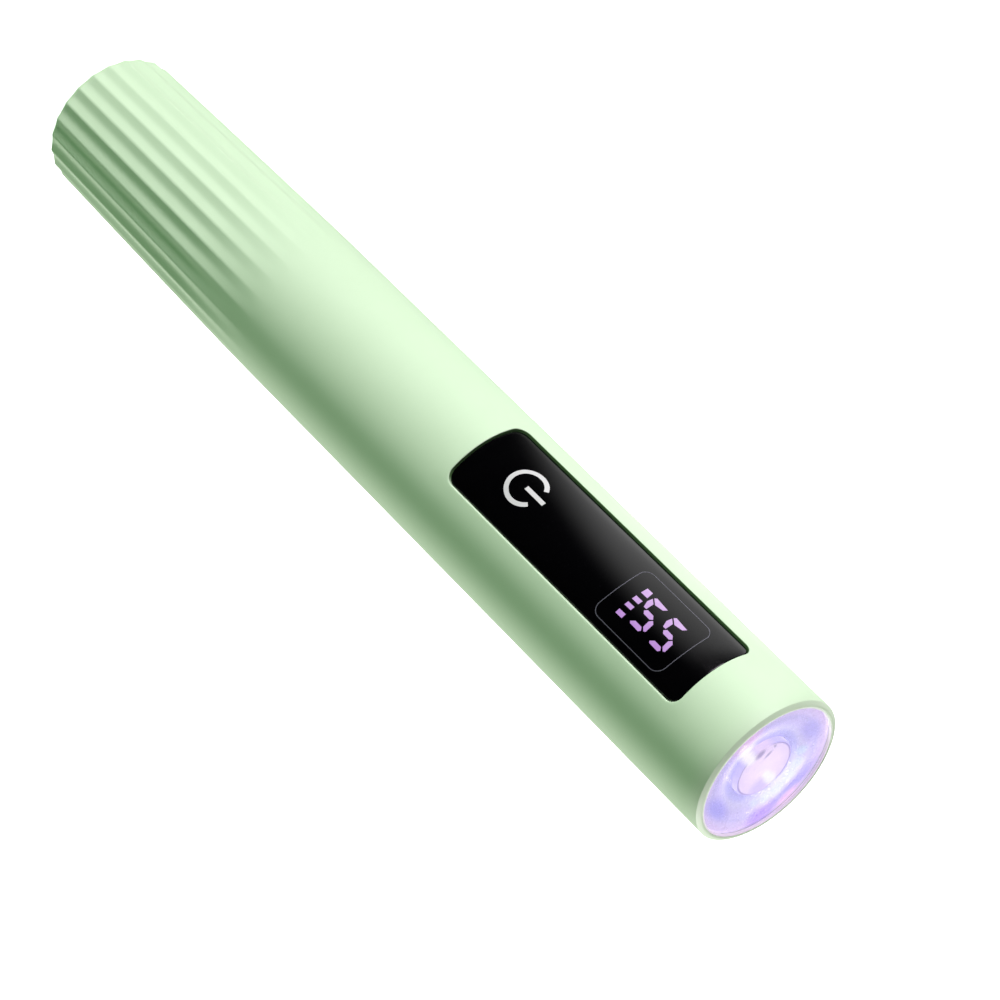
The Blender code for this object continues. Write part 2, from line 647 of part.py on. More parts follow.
def optics(clear, chrome, milky, rubber):
    """The clear front lens, the reflector bowl with its flange, the centre lens and the gasket."""
    lip_inside = LENS_RADIUS - LENS_LIP_WIDTH
    turned(
        "front_lens",
        [(0, LENS_BACK), (LENS_RADIUS, LENS_BACK), (LENS_RADIUS, LENS_LIP), (lip_inside, LENS_LIP),
         (lip_inside, LENS_FRONT), (0, LENS_FRONT)],
        clear, 48,
    )
    flange_front, throat = LENS_BACK - CLEAR, CENTER_LENS_RADIUS + 0.15
    turned(
        "reflector_bowl",
        [(throat, 143.6), (5.2, 143.5), (6.2, 143.58), (7.2, 143.85), (7.9, flange_front),
         (LENS_RADIUS, flange_front), (LENS_RADIUS, FLANGE_BACK), (8.4, FLANGE_BACK), (8.1, 142.7),
         (7.2, 143.1), (6.2, 142.85), (5.2, 142.8), (throat, 142.9)],
        chrome, 48,
    )
    rise = CENTER_LENS_FRONT - CENTER_LENS_RIM
    sphere = (CENTER_LENS_RADIUS**2 + rise**2) / (2 * rise)
    dome = []
    for radius in (3.5, 2.6, 1.7, 0.8):
        dome.append((radius, CENTER_LENS_FRONT - sphere + math.sqrt(sphere**2 - radius**2)))
    turned(
        "center_lens",
        [(0, CENTER_LENS_BACK), (CENTER_LENS_RADIUS, CENTER_LENS_BACK), (CENTER_LENS_RADIUS, CENTER_LENS_RIM),
         *dome, (0, CENTER_LENS_FRONT)],
        milky, 40,
    )
    ring("lens_gasket", GASKET_INSIDE, LENS_RADIUS, SEAT_Z + CLEAR, FLANGE_BACK - CLEAR, rubber, 48)


def led_parts(aluminium, white_board, pad, steel, ceramic):
    """The LED on its round metal-core board, with the pad, the heat sink and the two screws behind it."""
    board_top = LED_BOARD_Z + LED_BOARD_THICKNESS
    sink_top = LED_BOARD_Z - PAD_THICKNESS
    board = cylinder("led_board", LED_BOARD_RADIUS, LED_BOARD_Z, board_top, white_board, segments=36)
    sink = cylinder("heat_sink", CHASSIS_RADIUS, CHASSIS_TOP + 0.2, sink_top, aluminium, segments=36)
    cylinder("thermal_pad", PAD_RADIUS, sink_top + CLEAR, LED_BOARD_Z - CLEAR, pad, segments=28)
    for number, side in enumerate((-1, 1), 1):
        x = side * LED_SCREW_X
        boolean(board, cylinder(f"led_hole_cutter_{number}", 1.1, 137, 142, steel, (x, 0), 16))
        boolean(sink, cylinder(f"sink_pilot_cutter_{number}", 1.0, 137, 142, steel, (x, 0), 16))
        fixing = screw(f"led_screw_{number}", LED_SCREW_HEAD, LED_SCREW_SHAFT, steel)
        fixing.location = (x * MM, 0, (board_top + CLEAR + LED_SCREW_HEAD[1]) * MM)
        notch_low = (side * LED_LEAD_X - 0.8, -10, 134)
        notch_high = (side * LED_LEAD_X + 0.8, -6.3, 142)
        boolean(board, block(f"board_notch_cutter_{number}", notch_low, notch_high, steel))
        boolean(sink, block(f"sink_notch_cutter_{number}", notch_low, notch_high, steel))
    half = EMITTER_WIDTH / 2
    package_low = (-half, -half, board_top + CLEAR)
    emitter = block("uv_led_emitter", package_low, (half, half, board_top + 0.55), ceramic, 0.1)
    window = cylinder("emitter_window", EMITTER_WINDOW_RADIUS, board_top + 0.3, board_top + 0.8, ceramic)
    boolean(emitter, window, "UNION")


def main():
    clear_scene()
    mint = material("mint_plastic", (0.56, 0.80, 0.50), 0.5)
    glossy_black = material("panel_black", (0.005, 0.005, 0.006), 0.08)
    black = material("black_plastic", (0.02, 0.02, 0.02), 0.5)
    white = material("white_plastic", (0.85, 0.85, 0.85), 0.45)
    milky = material("milky_resin", (0.85, 0.82, 0.95), 0.3)
    clear = material("clear_resin", (0.86, 0.82, 1.0), 0.05)
    chrome = material("reflector_metal", (0.8, 0.78, 0.9), 0.15, 1.0)
    steel = material("steel", (0.6, 0.6, 0.62), 0.35, 1.0)
    nickel = material("nickel_strip", (0.65, 0.63, 0.58), 0.3, 1.0)
    spring_steel = material("spring_wire", (0.7, 0.68, 0.62), 0.25, 1.0)
    aluminium = material("aluminium", (0.75, 0.76, 0.78), 0.4, 1.0)
    board_green = material("circuit_board", (0.02, 0.22, 0.07), 0.4)
    board_white = material("metal_core_board", (0.88, 0.88, 0.86), 0.4)
    ferrite = material("ferrite", (0.06, 0.06, 0.065), 0.6)
    tan = material("ceramic_capacitor", (0.55, 0.42, 0.28), 0.5)
    ceramic = material("ceramic", (0.9, 0.88, 0.8), 0.4)
    rubber = material("grey_rubber", (0.25, 0.25, 0.26), 0.7)
    foam = material("black_foam", (0.05, 0.05, 0.05), 0.9)
    pad = material("thermal_pad_grey", (0.45, 0.5, 0.6), 0.8)
    paper = material("insulating_paper", (0.78, 0.75, 0.66), 0.8)
    wrap = material("cell_wrap", (0.08, 0.2, 0.55), 0.35)
    red = material("red_insulation", (0.65, 0.03, 0.03), 0.45)
    dark = material("black_insulation", (0.015, 0.015, 0.015), 0.45)

    body_shell(mint)
    panel_parts(glossy_black, foam)
    display_parts(white, black, milky)
    touch_spring(spring_steel)
    main_board_parts(board_green, black, white, steel, ferrite, tan)
    inner_chassis(black)
    battery_parts(steel, wrap, paper, nickel, board_green, foam)
    leads(red, dark)
    socket_parts(steel, black, board_green)
    tail_parts(mint, steel)
    optics(clear, chrome, milky, rubber)
    led_parts(aluminium, board_white, pad, steel, ceramic)


main()
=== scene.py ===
"""Looks of the handheld UV LED nail lamp: meshes, materials, floor, lights and camera.

The lamp stands on its tail along +Z and its display panel faces -Y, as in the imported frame.
Lengths are in millimetres and MM turns them into metres. Angles round the tube are in radians
from the panel's middle, positive toward +X.
"""

import json
import math

import bmesh
import bpy
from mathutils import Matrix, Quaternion, Vector


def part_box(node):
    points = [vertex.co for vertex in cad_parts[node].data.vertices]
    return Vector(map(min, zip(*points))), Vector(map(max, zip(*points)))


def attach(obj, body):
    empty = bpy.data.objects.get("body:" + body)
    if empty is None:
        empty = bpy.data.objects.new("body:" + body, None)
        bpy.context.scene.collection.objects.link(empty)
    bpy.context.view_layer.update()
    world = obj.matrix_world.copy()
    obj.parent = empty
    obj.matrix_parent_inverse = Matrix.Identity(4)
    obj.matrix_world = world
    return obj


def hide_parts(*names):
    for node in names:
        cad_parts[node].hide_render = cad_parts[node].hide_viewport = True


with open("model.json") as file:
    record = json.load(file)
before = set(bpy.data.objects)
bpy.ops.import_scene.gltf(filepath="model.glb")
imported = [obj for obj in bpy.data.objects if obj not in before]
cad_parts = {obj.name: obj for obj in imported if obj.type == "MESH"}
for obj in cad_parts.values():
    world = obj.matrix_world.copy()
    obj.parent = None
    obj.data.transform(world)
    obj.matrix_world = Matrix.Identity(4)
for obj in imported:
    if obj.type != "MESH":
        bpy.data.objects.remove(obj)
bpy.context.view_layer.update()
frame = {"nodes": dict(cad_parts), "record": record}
MM = 0.001


def span(node, axis=2):
    """A CAD node's lowest and highest coordinate along one axis, in millimetres."""
    low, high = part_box(node)
    return low[axis] / MM, high[axis] / MM


# Tube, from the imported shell
HEAD = span("body_shell")[1]
RADIUS = span("body_shell", 0)[1]
BORE = 9.0
SEAT_RADIUS = 10.2
SEAT_Z = 141.6
RIM_CHAMFER = (0.54, 0.36)
RIM_EASE = 0.08
RIM_INNER_FILLET = 0.06

# Fluted grip
GRIP_LENGTH = 45.0
TAIL_RADIUS = 10.35
TAIL_ROUNDING = 1.0
FLUTES = 24
FLUTE_STEPS = 12
FLUTE_DEPTH = 0.3
FLUTE_SOFTNESS = 0.27
FLUTE_END = 49.5
FLUTE_FADE = 17.5
TAPER_POWER = 1.25
COLUMNS = FLUTES * FLUTE_STEPS
GRIP_ROWS = 28
PLAIN_ROWS = (58.0, 68.0, 78.0)
UPPER_ROWS = (139.5, 142.5)
# The cap's stepped seat in the tail, as (radius, z) from the bore down
CAP_SEAT = ((BORE, 2.4), (6.0, 2.4), (6.0, 1.2), (7.1, 1.2), (7.1, 0.18), (7.28, 0.0))

# Panel and its pocket; widths are arcs on the tube's surface
PANEL_HALF_ARC = 6.76
PANEL_LOW, PANEL_HIGH = 89.0, 135.5
PANEL_MIDDLE = (PANEL_LOW + PANEL_HIGH) / 2
PANEL_HALF_LENGTH = (PANEL_HIGH - PANEL_LOW) / 2
PANEL_CORNER = 1.7
POCKET_FLOOR = 9.7
POCKET_FILLET = 0.14
LEDGE = 1.2
PATCH_MARGIN = 2.0
PATCH_END = (0.0, 0.45, 0.9, 1.3, 1.7, 2.0, 2.3, 2.6, 2.9, 3.2, 3.7)
PATCH_MIDDLE_ROWS = 20
PANEL_GAP = 0.16
PANEL_FRONT = 10.65
PANEL_BACK = 9.9
PANEL_FILLET = 0.12
PRINT_FRONT = PANEL_FRONT + 0.014
PRINT_BACK = PANEL_FRONT - 0.05

# Graphics on the panel
ICON_Z = 98.2
ICON_RADIUS = 2.66
ICON_STROKE = 0.66
ICON_GAP = math.radians(35)
ICON_BAR = 3.6
SCREEN_Z = 124.24
SCREEN_ARC = 0.64
SCREEN_HALF_LENGTH = 6.56
SCREEN_HALF_ARC = 4.86
SCREEN_CORNER = 1.5
SCREEN_LINE = 0.11
SCREEN_BOW = 0.33

# The lit bars of a 5 as (arc, z) outlines from the first digit's centre, and the pitch of the two digits
DIGIT_CENTER = (0.7, 123.7)
DIGIT_PITCH = (0.08, 3.88)
DIGIT_BARS = {
    "top": ((-2.2, -1.5), (-2.5, -1.25), (-2.32, 1.0), (-1.8, 0.65), (-1.58, -0.6)),
    "upper_left": ((-2.0, -1.55), (-1.5, -0.82), (-0.35, -0.82), (-0.33, -1.3), (-1.2, -1.68)),
    "middle": ((0.0, -0.85), (-0.4, -0.55), (-0.36, 0.55), (0.05, 0.98), (0.36, 0.65), (0.34, -0.5)),
    "lower_right": ((0.16, 1.12), (0.5, 1.55), (1.85, 1.65), (2.0, 1.38), (1.6, 0.9), (0.6, 0.8)),
    "bottom": ((2.22, -0.95), (1.75, -0.45), (1.76, 0.76), (2.16, 1.1), (2.48, 0.86), (2.44, -0.72)),
}
# Charge gauge: the (start, end) arcs of its bars, their middle height and length
GAUGE_BARS = ((-1.86, -0.78), (-0.02, 0.69), (1.3, 1.94), (2.76, 3.48))
GAUGE_Z = 121.06
GAUGE_LENGTH = 1.2
GAUGE_SLANT = 0.2

# Light head
LENS_RADIUS = 10.17
LENS_LOW, LIP_HIGH = span("front_lens")
LENS_HIGH = 145.0
LENS_FILLET = 0.05
LENS_BEVEL = 0.06
LIP_WIDTH = 0.22
LIP_RISE = 0.09
LIP_FILLET = 0.07
BOWL_LOW, BOWL_HIGH = span("reflector_bowl")
OPTIC_RADIUS = 4.3
OPTIC_FILLET = 0.12
OPTIC_BEVEL = 0.1
OPTIC_CROWN = 0.04
THROAT_GAP = 0.16
DISH_RADIUS = 8.1
DISH_DEPTH = 0.6
DISH_STEPS = 20
# The reflector's underside, as (radius, height over its back face) from its edge inward
BOWL_UNDERSIDE = ((10.16, 0.0), (8.4, 0.0), (8.1, 0.6), (7.2, 1.0), (6.2, 0.75), (5.2, 0.7))
GASKET_RADIUS = 9.62
GASKET_HALF_WIDTH = 0.44

# Tail end
TAIL_SCREW_Y = 4.7
SLOT_SIZE = (9.24, 3.56)
CONTACTS = 12
CONTACT_PITCH = 0.5

# Painted light on the reflector and the centre optic: (right, up) on the face, radius, colour, stretch across
GLOW_TURN = math.radians(22)
REFLECTOR_GLOW = 1.1
REFLECTOR_REACH = 10.0
# Painted highlights and reflections on the reflector: violet and pink patches and white arcs, fixed on the
# face
REFLECTOR_PAINTED_GLOWS = (
    ((-7.4, -1.6), 3.6, (200, 192, 252), 0.55),
    ((7.5, 1.2), 4.6, (188, 182, 252), 0.42),
    ((-0.6, -8.2), 2.1, (182, 172, 245), 3.2),
    ((4.4, -8.1), 3.0, (196, 166, 252), 1.2),
    ((-4.8, -4.1), 1.3, (216, 226, 255), 1.0),
    ((-3.3, -5.5), 1.4, (222, 230, 255), 1.2),
    ((-1.5, -6.3), 1.4, (226, 233, 255), 1.4),
    ((0.6, -6.5), 1.4, (226, 233, 255), 1.4),
    ((2.4, -6.0), 1.3, (222, 229, 255), 1.2),
    ((3.8, -5.0), 1.1, (218, 222, 255), 1.0),
    ((0.4, -9.5), 1.3, (246, 206, 250), 2.2),
    ((-0.8, 8.0), 2.2, (240, 206, 250), 1.7),
    ((0.0, 7.6), 0.8, (255, 240, 252), 1.4),
    ((0.0, 4.7), 1.9, (255, 250, 255), 1.0),
)
DOME_GLOW = 1.1
# Painted highlights and reflections on the centre optic: white spots, and dark marks for the emitter's die
DOME_PAINTED_GLOWS = (
    ((2.0, -2.4), 2.4, (222, 208, 253), 1.0),
    ((0.3, -1.4), 1.2, (255, 255, 255), 0.8),
    ((0.3, -2.5), 1.4, (255, 255, 255), 0.9),
    ((0.3, -3.4), 1.2, (255, 254, 255), 0.9),
    ((-1.9, 4.0), 1.9, (236, 216, 250), 1.3),
    ((0.4, 4.0), 1.5, (255, 252, 255), 0.9),
    ((-0.9, 3.3), 0.8, (172, 158, 200), 1.5),
    ((-1.6, 1.9), 0.4, (186, 172, 212), 2.8),
    ((-2.9, 2.2), 0.5, (180, 166, 206), 0.7),
)

# Finishes
MINT = (0.62, 0.80, 0.555)
MINT_SPREAD = (0.605, 0.785, 0.54)
# Painted shade: the dark green laid on the pocket's wall, standing for its shadow line
POCKET_SHADE = (0.075, 0.165, 0.055)
# Where the pocket's painted shade starts and stops: out from the axis, at its two ends along Z, and on two
# sides
POCKET_SHADE_REACH = (10.88, 10.97)
POCKET_SHADE_LOW = (PANEL_LOW - 4, PANEL_LOW - 2)
POCKET_SHADE_HIGH = (PANEL_HIGH + 1, PANEL_HIGH + 2)
POCKET_SHADE_SIDE = (-5.6, -4.2)
POCKET_SHADE_TAIL = (PANEL_LOW + 0.3, PANEL_LOW + 1.6)
PLAIN_FINISHES = {
    "frame_print": ((0.1, 0.098, 0.125), (0.4, 0.5), 0.0, 0.002),
    "screw_steel": ((0.55, 0.55, 0.56), (0.2, 0.32), 1.0, 0.004),
    "socket_steel": ((0.6, 0.6, 0.61), (0.25, 0.38), 1.0, 0.004),
    "cell_steel": ((0.6, 0.59, 0.57), (0.22, 0.34), 1.0, 0.003),
    "nickel_strip": ((0.62, 0.6, 0.56), (0.2, 0.3), 1.0, 0.003),
    "contact_gold": ((0.78, 0.58, 0.26), (0.18, 0.28), 1.0, 0.002),
    "spring_wire": ((0.68, 0.66, 0.62), (0.12, 0.2), 1.0, 0.002),
    "ferrite": ((0.035, 0.035, 0.037), (0.6, 0.75), 0.0, 0.03),
    "capacitor_ceramic": ((0.45, 0.33, 0.2), (0.45, 0.6), 0.0, 0.008),
    "emitter_ceramic": ((0.82, 0.81, 0.74), (0.35, 0.5), 0.0, 0.006),
    "gasket_rubber": ((0.05, 0.05, 0.052), (0.6, 0.75), 0.0, 0.015),
    "foam": ((0.02, 0.02, 0.02), (0.85, 0.95), 0.0, 0.06),
    "thermal_pad": ((0.24, 0.28, 0.36), (0.6, 0.7), 0.0, 0.01),
    "cell_wrap": ((0.02, 0.06, 0.28), (0.22, 0.34), 0.0, 0.004),
    "insulator_paper": ((0.62, 0.6, 0.5), (0.75, 0.9), 0.0, 0.02),
    "red_insulation": ((0.42, 0.012, 0.012), (0.35, 0.48), 0.0, 0.006),
    "black_insulation": ((0.012, 0.012, 0.012), (0.35, 0.48), 0.0, 0.006),
}

# Stage
FLOOR_REACH = 12.0
FLOOR_GLOW = 1.0
BOUNCE = (0.35, 0.58, 0.345)
BOUNCE_DEPTH = 0.002
CARD_RADIUS = 0.1
CARD_HEIGHT = 0.1
CARD_AZIMUTHS = range(-160, 31, 10)
CARD_GLOW = 2.0
# The card's fades, in metres: across X, the (slope, offset) that tilts the lower fade, and up Z
CARD_ACROSS = (0.01, -0.08)
CARD_TILT = (-0.45, -0.045)
CARD_UPWARD = (0.012, 0.057)
LIGHT_TARGET = (0, 0, 0.08)
# name, (degrees round the lamp, distance, height), power, colour, size
LIGHTS = (
    ("overhead", (202, 0.9, 1.3), 8.0, (1.0, 1.0, 1.0), (0.6, 0.6)),
    ("key", (-27.8, 1.2, 0.13), 22.2, (1.0, 0.895, 1.02), (0.45, 0.6)),
    ("rim", (149, 1.2, 0.66), 20.5, (1.0, 0.9, 0.99), (0.45, 0.6)),
    ("edge", (-125, 1.2, 0.13), 6.0, (1.0, 0.9, 1.0), (0.45, 0.6)),
)

# Camera
CAMERA_AZIMUTH = math.radians(22.174)
CAMERA_ELEVATION = math.radians(31.886)
CAMERA_ROLL = math.radians(134.797)
CAMERA_DISTANCE = 507.8
CAMERA_AIM = (-0.51, -0.21, 90.59)
CAMERA_LENS = 141.68


# ------------ materials

def node_material(name):
    """A new material, with its node tree and its shader."""
    made = bpy.data.materials.new(name)
    made.use_nodes = True
    tree = made.node_tree
    return made, tree, tree.nodes["Principled BSDF"]


def set_inputs(node, inputs):
    """Sets or links a node's inputs, given by name or number."""
    for key, value in inputs.items():
        if isinstance(value, bpy.types.NodeSocket):
            node.id_data.links.new(value, node.inputs[key])
        else:
            node.inputs[key].default_value = value


def linked(tree, kind, inputs=None, **settings):
    """Adds a node, sets its attributes, and sets or links its inputs."""
    node = tree.nodes.new(kind)
    for key, value in settings.items():
        setattr(node, key, value)
    set_inputs(node, inputs or {})
    return node


def calc(tree, operation, *values, **settings):
    """The result of a Math node over sockets and numbers."""
    node = linked(tree, "ShaderNodeMath", dict(enumerate(values)), operation=operation, **settings)
    return node.outputs[0]


def vector_calc(tree, operation, *values, output="Value"):
    """The result of a Vector Math node over sockets and vectors."""
    node = linked(tree, "ShaderNodeVectorMath", dict(enumerate(values)), operation=operation)
    return node.outputs[output]


def object_coordinates(tree):
    """The object's own coordinates, in metres."""
    return linked(tree, "ShaderNodeTexCoord").outputs["Object"]


def object_axes(tree):
    """The object's own X, Y and Z, in metres."""
    return linked(tree, "ShaderNodeSeparateXYZ", {"Vector": object_coordinates(tree)}).outputs


def noise(tree, scale, detail=3.0, stretch=(1, 1, 1)):
    """Noise over the object; scale is cycles per millimetre."""
    mapping = linked(tree, "ShaderNodeMapping", {"Vector": object_coordinates(tree), "Scale": stretch})
    texture = linked(
        tree, "ShaderNodeTexNoise",
        {"Vector": mapping.outputs["Vector"], "Scale": scale / MM, "Detail": detail, "Roughness": 0.55},
    )
    return texture.outputs["Fac"]


def ranged(tree, value, low, high, from_low=0.3, from_high=0.7, **settings):
    """Maps value from one range onto low to high, held at both ends."""
    node = linked(
        tree, "ShaderNodeMapRange",
        {"Value": value, "From Min": from_low, "From Max": from_high, "To Min": low, "To Max": high},
        **settings,
    )
    return node.outputs["Result"]


def relief(tree, height, depth, strength=1.0):
    """A bump's normal. depth is a share of a millimetre."""
    node = linked(tree, "ShaderNodeBump", {"Height": height, "Distance": depth * MM, "Strength": strength})
    return node.outputs["Normal"]


def scaled(color, share):
    """A colour with each channel multiplied by share."""
    return tuple(channel * share for channel in color)


def mixed(tree, factor, a, b):
    """Mixes two colours, each a socket or an (r, g, b), by a socket or a number."""
    node = linked(tree, "ShaderNodeMix", {0: factor}, data_type="RGBA")
    colors = [socket for socket in node.inputs if socket.type == "RGBA"]
    for socket, value in zip(colors, (a, b)):
        if isinstance(value, bpy.types.NodeSocket):
            tree.links.new(value, socket)
        else:
            socket.default_value = (*value, 1.0)
    return next(socket for socket in node.outputs if socket.type == "RGBA")


def surface(name, color, spread, roughness, metallic=0.0, grain=8.0, bump=0.02, mottle=0.15,
            stretch=(1, 1, 1), specular=0.5):
    """A moulded, painted or machined surface.

    color varies toward spread with the mottling, roughness is a (low, high) pair, grain is the fine
    texture's cycles per millimetre and bump its depth as a share of a millimetre.
    """
    made, tree, shader = node_material(name)
    patches = noise(tree, mottle, 4.0, stretch)
    fine = noise(tree, grain, 2.0, stretch)
    half = calc(tree, "MULTIPLY", calc(tree, "ADD", patches, fine), 0.5)
    set_inputs(shader, {
        "Base Color": mixed(tree, ranged(tree, patches, 0.0, 1.0), color, spread),
        "Roughness": ranged(tree, half, *roughness),
        "Normal": relief(tree, fine, bump),
        "Metallic": metallic,
        "Specular IOR Level": specular,
    })
    return made


def radial(tree):
    """The distance from the tube's axis, in millimetres, and the coordinates it comes from."""
    axes = object_axes(tree)
    flat = linked(tree, "ShaderNodeCombineXYZ", {"X": axes["X"], "Y": axes["Y"]}).outputs[0]
    return calc(tree, "MULTIPLY", vector_calc(tree, "LENGTH", flat), 1 / MM), flat


def color_ramp(tree, factor, stops):
    """An eased ramp over (place, colour) stops."""
    node = linked(tree, "ShaderNodeValToRGB", {"Fac": factor})
    ramp = node.color_ramp
    ramp.interpolation = "EASE"
    while len(ramp.elements) < len(stops):
        ramp.elements.new(0.5)
    for element, (place, color) in zip(ramp.elements, stops):
        element.position = place
        element.color = (*color, 1.0)
    return node.outputs["Color"]


def face_point(right, up):
    """A point on the light head, with up toward its side GLOW_TURN away from the panel's middle."""
    c, s = math.cos(GLOW_TURN), math.sin(GLOW_TURN)
    return ((c * right + s * up) * MM, (s * right - c * up) * MM, 0.0)


def glow_spot(tree, flat, base, center, size, color, stretch=1.0):
    """Mixes a soft round or oval spot over base. size is its radius and stretch lengthens it across."""
    c, s = math.cos(GLOW_TURN), math.sin(GLOW_TURN)
    away = vector_calc(tree, "SUBTRACT", flat, face_point(*center), output="Vector")
    across = vector_calc(tree, "DOT_PRODUCT", away, (c / stretch, s / stretch, 0))
    along = vector_calc(tree, "DOT_PRODUCT", away, (s, -c, 0))
    pair = linked(tree, "ShaderNodeCombineXYZ", {"X": across, "Y": along}).outputs[0]
    share = ranged(tree, vector_calc(tree, "LENGTH", pair), 0.0, 1.0, size * MM, 0.2 * size * MM,
                   interpolation_type="SMOOTHSTEP")
    return mixed(tree, share, base, color)


def glowing(tree, flat, glow, spots):
    """The glow with every painted (centre, radius, colour, stretch) spot mixed over it in turn."""
    for center, size, color, stretch in spots:
        glow = glow_spot(tree, flat, glow, center, size, rgb(*color), stretch)
    return glow


def rgb(r, g, b):
    """Display values from 0 to 255 as linear colour."""
    return tuple(((v / 255 + 0.055) / 1.055) ** 2.4 if v > 10 else v / 255 / 12.92 for v in (r, g, b))


# ------------ mesh tools

def placed(name, data):
    """A new object in the scene."""
    obj = bpy.data.objects.new(name, data)
    bpy.context.scene.collection.objects.link(obj)
    return obj


def mesh_object(name, verts, faces, material, sharp=50):
    """A mesh object from points in millimetres, with its faces turned outward."""
    bm = bmesh.new()
    made = [bm.verts.new(Vector(v) * MM) for v in verts]
    for face in faces:
        bm.faces.new([made[i] for i in face])
    bmesh.ops.remove_doubles(bm, verts=bm.verts, dist=1e-8)
    bmesh.ops.delete(bm, geom=[v for v in bm.verts if not v.link_faces], context="VERTS")
    bmesh.ops.recalc_face_normals(bm, faces=bm.faces)
    mesh = bpy.data.meshes.new(name)
    bm.to_mesh(mesh)
    bm.free()
    mesh.shade_smooth()
    mesh.set_sharp_from_angle(angle=math.radians(sharp))
    mesh.materials.append(material)
    return placed(name, mesh)


def piece(obj, slot, *nodes):
    """Puts a finished object on the lamp and hides the CAD nodes it stands for. slot is not used."""
    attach(obj, "root")
    if nodes:
        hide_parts(*nodes)
    return obj


def lofted(loops, closed_loops=True, closed_stack=False, caps=True):
    """Verts and faces of a skin over loops of points, with n-gon caps on its first and last loop."""
    count = len(loops[0])
    verts = [point for loop in loops for point in loop]
    faces = []
    stacks = len(loops) if closed_stack else len(loops) - 1
    for k in range(stacks):
        here, there = k * count, (k + 1) % len(loops) * count
        for i in range(count if closed_loops else count - 1):
            j = (i + 1) % count
            faces.append((here + i, here + j, there + j, there + i))
    if caps and not closed_stack:
        faces.append(tuple(range(count)))
        faces.append(tuple(range((len(loops) - 1) * count, len(loops) * count)))
    return verts, faces


def turned(name, profile, material, segments=96, sharp=40, center=(0.0, 0.0)):
    """A turned piece from (radius, z) points. A profile that leaves the axis is closed on itself."""
    solid = profile[0][0] == 0.0
    ring_points = profile[1:-1] if solid else profile
    loops = []
    for radius, z in ring_points:
        loops.append([
            (center[0] + radius * math.cos(2 * math.pi * i / segments),
             center[1] + radius * math.sin(2 * math.pi * i / segments), z)
            for i in range(segments)
        ])
    verts, faces = lofted(loops, closed_stack=not solid, caps=False)
    if solid:
        for z, first in ((profile[0][1], 0), (profile[-1][1], (len(loops) - 1) * segments)):
            verts.append((*center, z))
            for i in range(segments):
                faces.append((first + i, first + (i + 1) % segments, len(verts) - 1))
    return mesh_object(name, verts, faces, material, sharp)


def rounded(corner, radius, start, end, steps=5):
    """Points of a small arc about a corner centre, between two angles in degrees."""
    points = []
    for k in range(steps + 1):
        turn = math.radians(start + (end - start) * k / steps)
        points.append((corner[0] + radius * math.cos(turn), corner[1] + radius * math.sin(turn)))
    return points


def on_tube(arc, z, radius):
    """A point at an arc from the panel's middle, a height and a radius."""
    turn = arc / RADIUS
    return (radius * math.sin(turn), -radius * math.cos(turn), z)


def cut(target, cutter, operation="DIFFERENCE"):
    """Applies a Boolean with cutter to target's mesh and removes cutter."""
    modifier = target.modifiers.new("cut", "BOOLEAN")
    modifier.operation = operation
    modifier.solver = "EXACT"
    modifier.object = cutter
    graph = bpy.context.evaluated_depsgraph_get()
    result = bpy.data.meshes.new_from_object(target.evaluated_get(graph))
    target.modifiers.remove(modifier)
    target.data = result
    bpy.data.objects.remove(cutter)
    return target


# ------------ body shell

def crest_radius(z):
    """The radius over the flute crests at height z, with the tail's rounded edge."""
    along = max(0.0, 1 - z / GRIP_LENGTH)
    radius = RADIUS - (RADIUS - TAIL_RADIUS) * along**TAPER_POWER
    if z < TAIL_ROUNDING:
        radius -= TAIL_ROUNDING - math.sqrt(TAIL_ROUNDING**2 - (TAIL_ROUNDING - z) ** 2)
    return radius


def outer_radius(z, column):
    """The outside radius at height z, with a flute on column 0: a V whose bottom is rounded."""
    crest = crest_radius(z)
    half = math.pi / FLUTES
    share = ((column + FLUTE_STEPS // 2) % FLUTE_STEPS) / FLUTE_STEPS
    away = (2 * share - 1) * half
    reach = min(1.0, max(0.0, (FLUTE_END - z) / FLUTE_FADE))
    chord = crest * math.cos(half) / math.cos(away)
    rise = math.hypot(away / half, FLUTE_SOFTNESS) - FLUTE_SOFTNESS
    full = math.hypot(1.0, FLUTE_SOFTNESS) - FLUTE_SOFTNESS
    hollow = FLUTE_DEPTH * crest / RADIUS * (1 - rise / full) * min(1.0, z / TAIL_ROUNDING)
    return crest + (chord - hollow - crest) * reach


def ring_at(z, radius):
    """A loop round the tube. radius is a number or a function of the column."""
    loop = []
    for column in range(COLUMNS):
        r = radius(column) if callable(radius) else radius
        turn = 2 * math.pi * column / COLUMNS
        loop.append((r * math.sin(turn), -r * math.cos(turn), z))
    return loop


def patch_rows():
    """Heights across the panel's patch, close together at its two ends."""
    low, high = PANEL_LOW - PATCH_MARGIN, PANEL_HIGH + PATCH_MARGIN
    inside_low, inside_high = low + PATCH_END[-1], high - PATCH_END[-1]
    length = inside_high - inside_low
    rows = [low + rise for rise in PATCH_END]
    rows += [inside_low + length * k / PATCH_MIDDLE_ROWS for k in range(1, PATCH_MIDDLE_ROWS)]
    return rows + [high - rise for rise in reversed(PATCH_END)]


def pocket_point(arc, z, offset, radius):
    """Where a point on the patch's border lands on the panel's outline, moved outward by offset."""
    core_arc = max(-(PANEL_HALF_ARC - PANEL_CORNER), min(PANEL_HALF_ARC - PANEL_CORNER, arc))
    reach = PANEL_HALF_LENGTH - PANEL_CORNER
    core_z = max(PANEL_MIDDLE - reach, min(PANEL_MIDDLE + reach, z))
    away = math.hypot(arc - core_arc, z - core_z)
    push = (PANEL_CORNER + offset) / away
    return on_tube(core_arc + (arc - core_arc) * push, core_z + (z - core_z) * push, radius)


